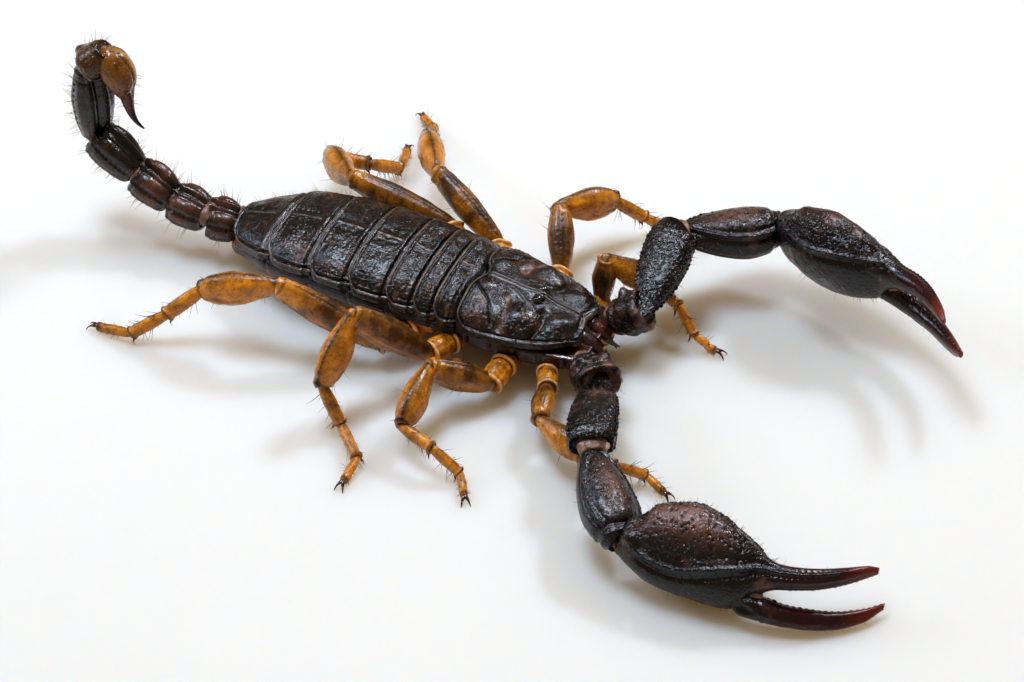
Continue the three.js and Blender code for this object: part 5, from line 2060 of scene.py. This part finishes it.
def legs() -> list[Leg]:
    """The eight legs in their poses."""
    sizes = (
        ((3.7, -7.7, 2.3), (2.0, 0.8, 0.85), (3.95, 0.72, 0.95), (4.7, 0.68, 0.9), (2.6, 0.42, 0.5),
         (2.6, 0.38, 0.42), (2.0, 0.33, 0.36)),
        ((4.3, -4.35, 2.2), (2.1, 1.0, 1.0), (5.4, 0.85, 1.05), (5.2, 0.78, 1.15), (3.1, 0.45, 0.53),
         (2.8, 0.4, 0.46), (2.1, 0.34, 0.38)),
        ((4.3, 0.2, 2.7), (2.4, 0.95, 1.0), (7.8, 0.72, 1.12), (5.9, 0.8, 1.22), (3.3, 0.48, 0.56),
         (3.6, 0.42, 0.48), (2.3, 0.36, 0.4)),
        ((4.5, 3.6, 2.7), (2.8, 0.95, 1.0), (9.0, 0.7, 1.1), (6.6, 0.8, 1.12), (3.5, 0.5, 0.62),
         (3.4, 0.44, 0.52), (3.0, 0.38, 0.43)),
    )
    poses = (
        (LegPose((64, 6), (73, 8), (20, -6), (-14, -10), (-35, -31), 21),
         LegPose((82, -15), (97, 77), (20, -33), (-21, -9), (-31, -33), 0)),
        (LegPose((95, -8), (142, 30), (89, -21), (14, -6), (-2, -37), 55),
         LegPose((96, 14), (117, 30), (53, -17), (32, -40), (16, -23), 0)),
        (LegPose((108, 8), (143, 42), (100, -49), (18, -56), (42, -5), 90),
         LegPose((118, 22), (158, 20), (125, -15), (104, -45), (119, -24), 138)),
        (LegPose((132, -9), (166, 31), (169, -19), (144, -37), (150, -33), 178),
         LegPose((136, 24), (180, 10), (135, -25), (7, 3), (60, -34), 106)),
    )
    made = []
    for number, ((hip, *bones), pair) in enumerate(zip(sizes, poses), start=1):
        for name, side, pose in (("right", -1, pair[0]), ("left", 1, pair[1])):
            made.append(Leg(number, name, side, hip, *[Bone(*bone) for bone in bones], pose))
    return made


# ------------------------------------------------------------------ claws
@dataclass(frozen=True)
class PalpPose:
    """Yaw and pitch of each piece, the rolls of palm and third piece, how far the claw opens."""

    trochanter: Pair
    femur: Pair
    patella: Pair
    palm: Pair
    roll: float
    opening: float
    twist: float


@dataclass
class Pedipalp:
    """One claw arm: three arm pieces, the palm with its fixed finger, the movable finger."""

    name: str
    side: int
    pose: PalpPose
    root: tuple[float, float, float] = (2.8, -10.3, 3.4)
    trochanter: Bone = Bone(2.9, 1.7, 1.5)
    femur: Bone = Bone(7.7, 1.65, 1.25)
    patella: Bone = Bone(8.7, 2.0, 1.7)
    # along, side towards the movable finger, lift, half width, half depth
    palm: Table = (
        (-0.15, 0.0, 0, 0.95, 0.75), (0.3, -0.2, -0.15, 1.6, 1.15), (0.95, -0.12, -0.3, 2.05, 1.5),
        (1.65, -0.05, -0.4, 2.5, 1.8), (2.4, -0.1, -0.45, 2.92, 1.98), (3.4, -0.05, -0.6, 3.17, 2.2),
        (5.4, 0.08, -0.7, 3.43, 2.4), (7.3, 0.55, -0.6, 3.25, 2.2), (9.1, 1.0, -0.45, 2.6, 1.7),
        (10.4, 0.9, -0.35, 1.5, 1.1), (11.7, 0.92, -0.4, 0.94, 0.84), (13.1, 0.9, -0.6, 0.84, 0.78),
        (14.5, 0.8, -1.1, 0.78, 0.74), (16.2, 0.5, -2.0, 0.66, 0.62), (17.6, 0.15, -2.95, 0.47, 0.44),
        (18.35, 0.05, -3.55, 0.25, 0.24))
    finger: Table = (
        (8.4, 2.8, -0.1, 0.5, 0.7), (9.2, 3.1, -0.1, 0.95, 1.05), (10.7, 3.4, -0.25, 0.9, 0.95),
        (12.2, 3.7, -0.55, 0.8, 0.82), (14.1, 3.85, -1.1, 0.74, 0.73), (16.2, 3.75, -2.05, 0.64, 0.62),
        (17.8, 3.3, -2.95, 0.49, 0.46), (19.0, 2.6, -3.7, 0.25, 0.24))
    hinge: Pair = (8.8, 3.0)

    def build(self, bench: Workbench) -> None:
        """Builds and dresses the claw arm."""
        label = f"palp_{self.name}"
        beads, coat = Beads(), Bristles(seed=303 + self.side)
        ways = [aim(a, self.side) for a in (self.pose.trochanter, self.pose.femur, self.pose.patella)]
        ways[2] = rolled(ways[2], self.pose.twist)
        hand = rolled(aim(self.pose.palm, self.side), self.pose.roll)
        shoulder = np.array(self.root) * np.array([self.side, 1, 1])
        elbow = ways[0].ahead(shoulder, self.trochanter.length)
        bend = ways[1].ahead(elbow, self.femur.length)
        wrist = ways[2].ahead(bend, self.patella.length)
        for part, form in (
            ("trochanter", self._trochanter_form(shoulder, ways, beads, coat)),
            ("femur", self._femur_form(elbow, ways, beads, coat)),
            ("patella", self._patella_form(bend, [*ways, hand], beads, coat)),
            ("palm", self._palm_form(wrist, hand, beads, coat)),
            ("finger", self._finger_form(wrist, hand, beads, coat)),
        ):
            bench.finish(form.build(f"{label}_{part}_shell"), Finish.CLAW, "black_shell",
                         f"pedipalp_{self.name}_{part}")
        skins = [
            joint_skin(shoulder, aim((0, 0)), ways[0], 1.1, 0.95, 0.7),
            joint_skin(elbow, ways[0], ways[1], 0.5, 0.45, 0.5),
            joint_skin(bend - ways[1].across * 0.15, ways[1], ways[2], 1.2, 0.95, 0.7),
            joint_skin(wrist, ways[2], hand, 0.8, 0.74, 0.6),
            self._condyle(bend - ways[1].across * 1.15 - ways[1].out * 0.1, ways[1]),
            self._finger_skin(wrist, hand)]
        piece = joined(f"{label}_joint_skin", [skin.build("skin") for skin in skins])
        bench.finish(piece, Finish.MEMBRANE, "amber_shell")
        bench.finish(beads.build(f"{label}_granules", bench.bead), Finish.PLATE, "black_shell")
        bench.finish(coat.build(f"{label}_bristles", bench.hair), Finish.TAN_HAIR, "amber_shell")

    @staticmethod
    def _condyle(at: Array, way: Aim) -> Form:
        """A small ivory knob on which a joint turns."""
        swell = ((-0.36, 0.12), (-0.24, 0.28), (0.0, 0.37), (0.24, 0.3), (0.36, 0.16))
        form = Form.sweep(profiled(at, way, 1.0, swell, 1.0, 1.0), 0.08, (0.03, 0.03))
        # Dark in the groove round the knob is painted shade.
        form.carve(Band(-0.08, 0.75, 0.07, dark=0.7))
        form.stain("pale", 0.5)
        return form

    def _trochanter_form(self, start: Array, ways: list[Aim], beads: Beads, coat: Bristles) -> Form:
        """The short dark first piece, knobbly all over, with two blunt horns."""
        shape = ((-0.02, 0.5), (0.08, 0.78), (0.35, 0.96), (0.6, 1.0), (0.85, 1.02), (1, 0.88))
        form = limb(start, ways[0], self.trochanter, shape, (0.5, -1.1), 2.4, 0.09, ways[0], ways[1]).carve(
            # Dark in the two grooves round this piece is painted shade.
            Band(-0.2, 0.3, 0.2, dark=0.6),
            Band(0.16, 0.95, 0.16, warm=0.4),
            Band(-0.12, 0.78, 0.1, dark=0.6),
            Spot(0.55, 0.55, 62, 0.35, 0.35),
            Spot(0.45, 0.6, 128, 0.35, 0.4),
            Spot(0.25, 0.62, 190, 0.4, 0.4),
            Grain(0.1, 0.9, 220),
            Grain(0.09, 0.42, 221, kind=Texture.GRANULES),
            Grain(0, 0.7, 227, warm=0.7))
        form.stain("pale", (np.arange(len(form.base)) > form.last)[:, None] * 0.45)
        beads.scatter(form, coat.random, 110, (0.2, 0.97), (0, 360), (0.07, 0.15))
        coat.scatter(form, 22, (0.3, 0.95), (0, 360), 0.7, 0.02)
        return form

    def _femur_form(self, start: Array, ways: list[Aim], beads: Beads, coat: Bristles) -> Form:
        """The leaf-shaped second piece, flat above, its long edges set with rows of beads."""
        draw = coat.random
        shape = ((-0.1, 0.3), (0.02, 0.42), (0.13, 0.6), (0.33, 0.88), (0.56, 1.05),
                 (0.78, 1.09), (0.93, 1.03), (0.985, 0.94))
        form = limb(start, ways[1], self.femur, shape, (0.5, -0.7), 2.5, 0.09, ways[0], ways[2]).carve(
            Ridge(-0.12, 90, 0.8, 0.08, 0.86),
            # Dark in the groove along each long edge is painted shade.
            *both(Ridge(0.12, 22, 0.16, 0.05, 0.95),
                  Ridge(0.12, 330, 0.16, 0.05, 0.95),
                  Ridge(-0.12, 356, 0.24, 0.08, 0.9, dark=0.6)),
            Band(0.1, 0.965, 0.12),
            Grain(0.08, 0.3, 229, kind=Texture.GRANULES),
            Grain(0.03, 1.4, 223),
            Grain(0, 1.2, 228, warm=0.12))
        form.stain("dark", 0.35)
        form.push -= 0.4 * ease(0.75, 1.0, form.along)[:, None] * bell(form.around(90.0), 1.2)
        for angle in (22, 158, 210, 330):
            share = np.linspace(0.06, 0.95, 19)
            beads.sow(form, share, angle + draw.normal(0, 1.6, 19),
                      draw.uniform(0.14, 0.22, 19), sink=0.0)
            coat.plant(form, draw.uniform(0.1, 0.95, 14), angle, 0.5, 0.02)
        for middle in (90, 0, 180):
            beads.sow(form, draw.uniform(0.08, 0.9, 170), middle + draw.uniform(-42, 42, 170),
                      draw.uniform(0.06, 0.12, 170))
        return form

    def _patella_form(self, start: Array, ways: list[Aim], beads: Beads, coat: Bristles) -> Form:
        """The third piece: dimpled above, a beaded keel on each side, smooth long flanks."""
        draw = coat.random
        shape = ((0.02, 0.22, 0), (0.07, 0.38, -0.08), (0.15, 0.58, -0.2), (0.3, 0.82, -0.28),
                 (0.48, 1.0, -0.34), (0.66, 1.08, -0.32), (0.82, 0.98, -0.22), (0.92, 0.78, -0.12),
                 (1, 0.54, 0))
        edge: Path = ((0.05, 68), (0.16, 46), (0.36, 30), (0.6, 27), (0.8, 32), (0.92, 44))
        form = limb(start, ways[2], self.patella, shape, (0.5, -0.3), 2.3, 0.09, ways[1], ways[3]).carve(
            # Dark in the grooves along the keels, in the groove behind the far rim and in the pits is
            # painted shade.
            *both(
                Crease(0.17, 0.16, path=edge),
                Crease(-0.14, 0.2, dark=0.7, path=shifted(edge, -13)),
                Crease(-0.08, 0.16, dark=0.4, path=shifted(edge, 12)),
                Ridge(0.1, 303, 0.16, 0.08, 0.92),
                Ridge(-0.1, 316, 0.14, 0.1, 0.9, dark=0.6)),
            Band(0.13, 0.955, 0.11),
            Band(-0.18, 0.89, 0.13, dark=0.8),
            Spot(0.2, 0.8, 95, 0.6, 0.9),
            Spot(0.12, 0.5, 90, 2.4, 1.0, warm=0.5),
            Grain(-0.06, 0.44, 224, kind=Texture.PITS, middle=90, reach=62, start=0.08, end=0.88, dark=0.9),
            Grain(0.03, 1.5, 226))
        line = trace(edge, np.linspace(0.4, 4.9, 26))
        for side in (-1, 1):
            beads.sow(form, line[:, 0], 90 + side * (line[:, 1] - 90) + draw.normal(0, 1.5, 26),
                      draw.uniform(0.08, 0.14, 26), sink=0.15)
        beads.scatter(form, draw, 60, (0.1, 0.92), (25, 155), (0.03, 0.06))
        coat.plant(form, draw.uniform(0.1, 0.95, 34), draw.choice(
            np.array([0.0, 180, 200, 340, 270]), 34) + draw.normal(0, 10, 34), 0.5, 0.02)
        return form

    def _hand_stations(self, outline: tuple, wrist: Array, hand: Aim, degrees: float) -> list[Station]:
        """Stations of palm or finger, opened by an angle about the finger's hinge."""
        turn = math.radians(degrees)
        stations = []
        for along, side, lift, wide, deep in outline:
            da, ds = along - self.hinge[0], side - self.hinge[1]
            a = self.hinge[0] + da * math.cos(turn) - ds * math.sin(turn)
            s = self.hinge[1] + da * math.sin(turn) + ds * math.cos(turn)
            stations.append(Station(hand.point(wrist, a, s, lift), hand, wide, deep, 2.2))
        return stations

    def _palm_form(self, wrist: Array, hand: Aim, beads: Beads, coat: Bristles) -> Form:
        """The palm: a strong keel that runs on along the fixed finger, a grained outer side."""
        form = Form.sweep(self._hand_stations(self.palm, wrist, hand, 0), 0.085, (0.3, 0.04))
        keel: Path = ((0.05, 92), (0.14, 74), (0.24, 71), (0.37, 85), (0.49, 103), (0.6, 119), (0.8, 124),
                      (0.96, 128))
        under: Path = ((0.1, 216), (0.17, 221), (0.28, 229), (0.39, 224), (0.5, 212), (0.57, 196))
        second: Path = ((0.13, 196), (0.3, 199), (0.42, 176), (0.52, 158))
        form.carve(
            # Dark in the grooves beside the keels, in the hollow near the hinge, in the side groove and in
            # the pits is painted shade.
            Crease(0.22, 0.2, path=keel),
            Crease(-0.18, 0.26, dark=0.75, path=shifted(keel, -12)),
            Crease(-0.12, 0.3, dark=0.3, path=shifted(keel, 15)),
            Crease(0.26, 0.18, path=under),
            Crease(-0.14, 0.24, dark=0.6, path=shifted(under, 11)),
            Crease(0.14, 0.16, path=second),
            # The mauve-brown bloom on the outer side is partly the palm's own colour and partly painted
            # light: it is laid far more strongly on the right palm than on the left.
            Spot(0.2, 0.28, 140, 2.4, 1.5, warm=0.75 if self.side < 0 else 0.2),
            Spot(0.0, 0.14, 150, 1.2, 1.2, warm=0.4 if self.side < 0 else 0.1),
            Spot(0.3, 0.055, 105, 0.6, 0.7),
            Spot(-0.55 if self.side < 0 else -0.1, 0.075, 160, 0.5, 1.0),
            Spot(0.15 if self.side < 0 else -0.75, 0.27, 163, 3.2, 0.8),
            Spot(-0.2, 0.3, 108, 2.0, 0.7),
            Spot(-0.35, 0.485, 28, 0.6, 0.5, dark=0.9),
            Ridge(-0.07, 60, 0.2, 0.62, 0.96, dark=0.2),
            Grain(-0.1, 0.42, 231, kind=Texture.PITS, middle=158, reach=68, start=0.05, end=0.56, dark=1.0),
            Grain(0.03, 0.5, 236, middle=150, reach=70, end=0.56),
            Grain(-0.03, 0.5, 235, kind=Texture.PITS, middle=330, reach=100, start=0.1, end=0.55),
            Grain(0.008, 0.5, 233, kind=Texture.WRINKLES, end=0.6),
            Grain(0.04, 1.8, 234, end=0.62))
        form.stain("tip", ease(0.5, 0.98, form.along)[:, None])
        self._palm_beads(form, beads, coat, (keel, under, second))
        return form

    def _palm_beads(self, form: Form, beads: Beads, coat: Bristles, keels: tuple[Path, ...]) -> None:
        """Granules on the palm, teeth on the fixed finger, and its hairs."""
        draw = coat.random
        for path, count in zip(keels, (22, 22, 16)):
            line = trace(path, np.linspace(0.3, len(path) - 1.3 if path is not keels[0] else 4.6, count))
            beads.sow(form, line[:, 0], line[:, 1], draw.uniform(0.07, 0.12, count), sink=0.3)
        outer = np.linspace(0.08, 0.58, 30)
        beads.sow(form, outer, 172 + draw.normal(0, 4, 30), draw.uniform(0.1, 0.16, 30), sink=0.1)
        beads.scatter(form, draw, 110, (0.06, 0.55), (105, 222), (0.03, 0.06))
        band = draw.uniform(0.06, 0.48, 210)
        beads.sow(form, band, draw.uniform(180, 224, 210), draw.uniform(0.11, 0.19, 210), sink=0.05)
        beads.scatter(form, draw, 40, (0.08, 0.5), (-60, 60), (0.03, 0.05))
        beads.teeth(form, 0.64, 0.975, 352, 17)
        coat.plant(form, draw.uniform(0.08, 0.6, 90), 175 + draw.normal(0, 20, 90), 0.5, 0.018, lean=0.3)
        coat.plant(form, draw.uniform(0.1, 0.6, 50), draw.normal(0, 25, 50) - 20, 0.5, 0.018, lean=0.3)
        coat.scatter(form, 14, (0.62, 0.96), (120, 300), 0.4, 0.016)

    def _finger_form(self, wrist: Array, hand: Aim, beads: Beads, coat: Bristles) -> Form:
        """The movable finger, toothed on its inner edge, with the hollow of its hinge."""
        form = Form.sweep(self._hand_stations(self.finger, wrist, hand, self.pose.opening), 0.09,
            (0.2, 0.04))
        form.carve(
            # Dark in the hollow of the hinge and in the groove beside the top ridge is painted shade.
            Spot(-0.4, 0.1, 72, 0.85, 0.42, dark=1.0),
            Band(0.1, 0.22, 0.14, middle=60, reach=80),
            Ridge(0.08, 40, 0.16, 0.2, 0.92),
            Ridge(-0.06, 100, 0.2, 0.2, 0.92, dark=0.2),
            Ridge(0.06, 300, 0.16, 0.2, 0.92),
            Grain(0.02, 0.5, 241, kind=Texture.WRINKLES, end=0.6),
            Grain(0.04, 1.0, 242, end=0.7))
        form.stain("tip", ease(-0.05, 0.98, form.along)[:, None])
        beads.teeth(form, 0.24, 0.97, 184, 19)
        coat.scatter(form, 24, (0.1, 0.95), (-80, 80), 0.4, 0.016)
        return form

    def _finger_skin(self, wrist: Array, hand: Aim) -> Form:
        """The pale skin in the fork of the two fingers."""
        stations = [
            Station(hand.point(wrist, along, side, -0.2), hand, wide, deep)
            for along, side, wide, deep in (
                (8.9, 1.9, 0.5, 0.6), (9.7, 2.15, 0.62, 0.75), (10.3, 2.4, 0.5, 0.6), (10.7, 2.6, 0.3,
                    0.35))]
        return Form.sweep(stations, 0.1, (0.1, 0.1)).carve(Grain(0.05, 0.5, 251))


def palps() -> list[Pedipalp]:
    """The two claw arms in their poses."""
    return [
        Pedipalp("right", -1, PalpPose((38, 12), (71, 8), (49, -10), (-10, 5), 54, 0, -18)),
        Pedipalp("left", 1, PalpPose((9, 35), (96, 11), (37, -7), (-16, 15), 77, 4, 10))]


# ------------------------------------------------------------------ studio
@dataclass
class Studio:
    """A white enamelled floor, soft overhead light and the camera."""

    camera_at: tuple[float, float, float] = (-193.008, -96.988, 211.753)
    camera_turn: Pair = (-64.015, 44.567)
    lens: float = 136.6
    floor_half: float = 900.0

    def camera(self) -> None:
        """Places the camera in front of the animal's right side."""
        data = bpy.data.cameras.new("camera")
        data.lens, data.sensor_width = self.lens, 36.0
        data.clip_start, data.clip_end = 0.01, 10.0
        camera = bpy.data.objects.new("camera", data)
        camera.location = Vector((np.array(self.camera_at) + SHIFT) * MM)
        yaw, lift = self.camera_turn
        camera.rotation_euler = (math.radians(90 - lift), 0, math.radians(yaw))
        bpy.context.scene.collection.objects.link(camera)
        bpy.context.scene.camera = camera

    def floor(self, bench: Workbench) -> None:
        """Lays the floor: a wide thin sheet, bevelled at its rim."""
        deselect()
        bpy.ops.mesh.primitive_plane_add(size=2 * self.floor_half * MM, location=(0, 0, 0))
        floor = bpy.context.object
        floor.name = floor.data.name = "floor"
        edit(floor)
        bpy.ops.mesh.select_all(action="SELECT")
        bpy.ops.mesh.extrude_region_move(TRANSFORM_OT_translate={"value": (0, 0, -0.03)})
        bpy.ops.mesh.select_all(action="SELECT")
        bpy.ops.mesh.normals_make_consistent(inside=False)
        bpy.ops.mesh.bevel(offset=0.001, segments=3, affect="EDGES")
        bpy.ops.object.mode_set(mode="OBJECT")
        top = max(v.co.z for v in floor.data.vertices)
        for vertex in floor.data.vertices:
            vertex.co.z -= top
        bench.palette.dress(floor, Finish.ENAMEL)

    def lights(self) -> None:
        """A broad overhead light, a smaller key, a cool low window and a warm surround."""
        self._panel("overhead", (10, 80, 340), (0, -5, 0), (115, 95), 29.5, "#e0ecff")
        self._panel("key", (215, -75, 270), (0, -10, 0), (50, 42), 97.0, "#eaf0ff")
        self._panel("window", (-60, 330, 190), (0, 0, 0), (140, 110), 9.0, "#d6e4ff")
        world = bpy.data.worlds.new("surround")
        world.use_nodes = True
        tone = world.node_tree.nodes["Background"]
        tone.inputs["Color"].default_value = linear("#ffe0c0")
        tone.inputs["Strength"].default_value = 0.31
        bpy.context.scene.world = world
        bpy.context.scene.view_settings.view_transform = "Standard"
        bpy.context.scene.view_settings.look = "Medium High Contrast"

    def _panel(
        self, name: str, at: tuple, target: tuple, size: tuple, radiance: float, colour: str,
    ) -> None:
        """Hangs one soft panel.

        Args:
            name: Its name.
            at: Its middle in mm from the animal's middle.
            target: What it faces.
            size: Width and height in mm.
            radiance: Brightness of its face.
            colour: Colour of its light.
        """
        data = bpy.data.lights.new(name, "AREA")
        data.shape = "RECTANGLE"
        data.size, data.size_y = size[0] * MM, size[1] * MM
        data.energy = radiance * math.pi * data.size * data.size_y
        data.color = linear(colour)[:3]
        panel = bpy.data.objects.new(name, data)
        panel.location = Vector(at) * MM
        panel.rotation_euler = (Vector(target) * MM - panel.location).to_track_quat("-Z", "Y").to_euler()
        bpy.context.scene.collection.objects.link(panel)


def main() -> None:
    """Builds the studio and the scorpion, part by part."""
    logging.basicConfig(level=logging.INFO, format="%(message)s")
    bench = Workbench()
    studio = Studio()
    studio.camera()
    studio.floor(bench)
    studio.lights()
    Head().build(bench)
    Trunk().build(bench)
    Tail().build(bench)
    setae = Bristles(seed=404)
    for leg in legs():
        leg.build(bench, setae)
    bench.finish(setae.build("setae_legs", bench.hair), Finish.DARK_HAIR, "amber_shell")
    for palp in palps():
        palp.build(bench)


if __name__ == "__main__":
    main()
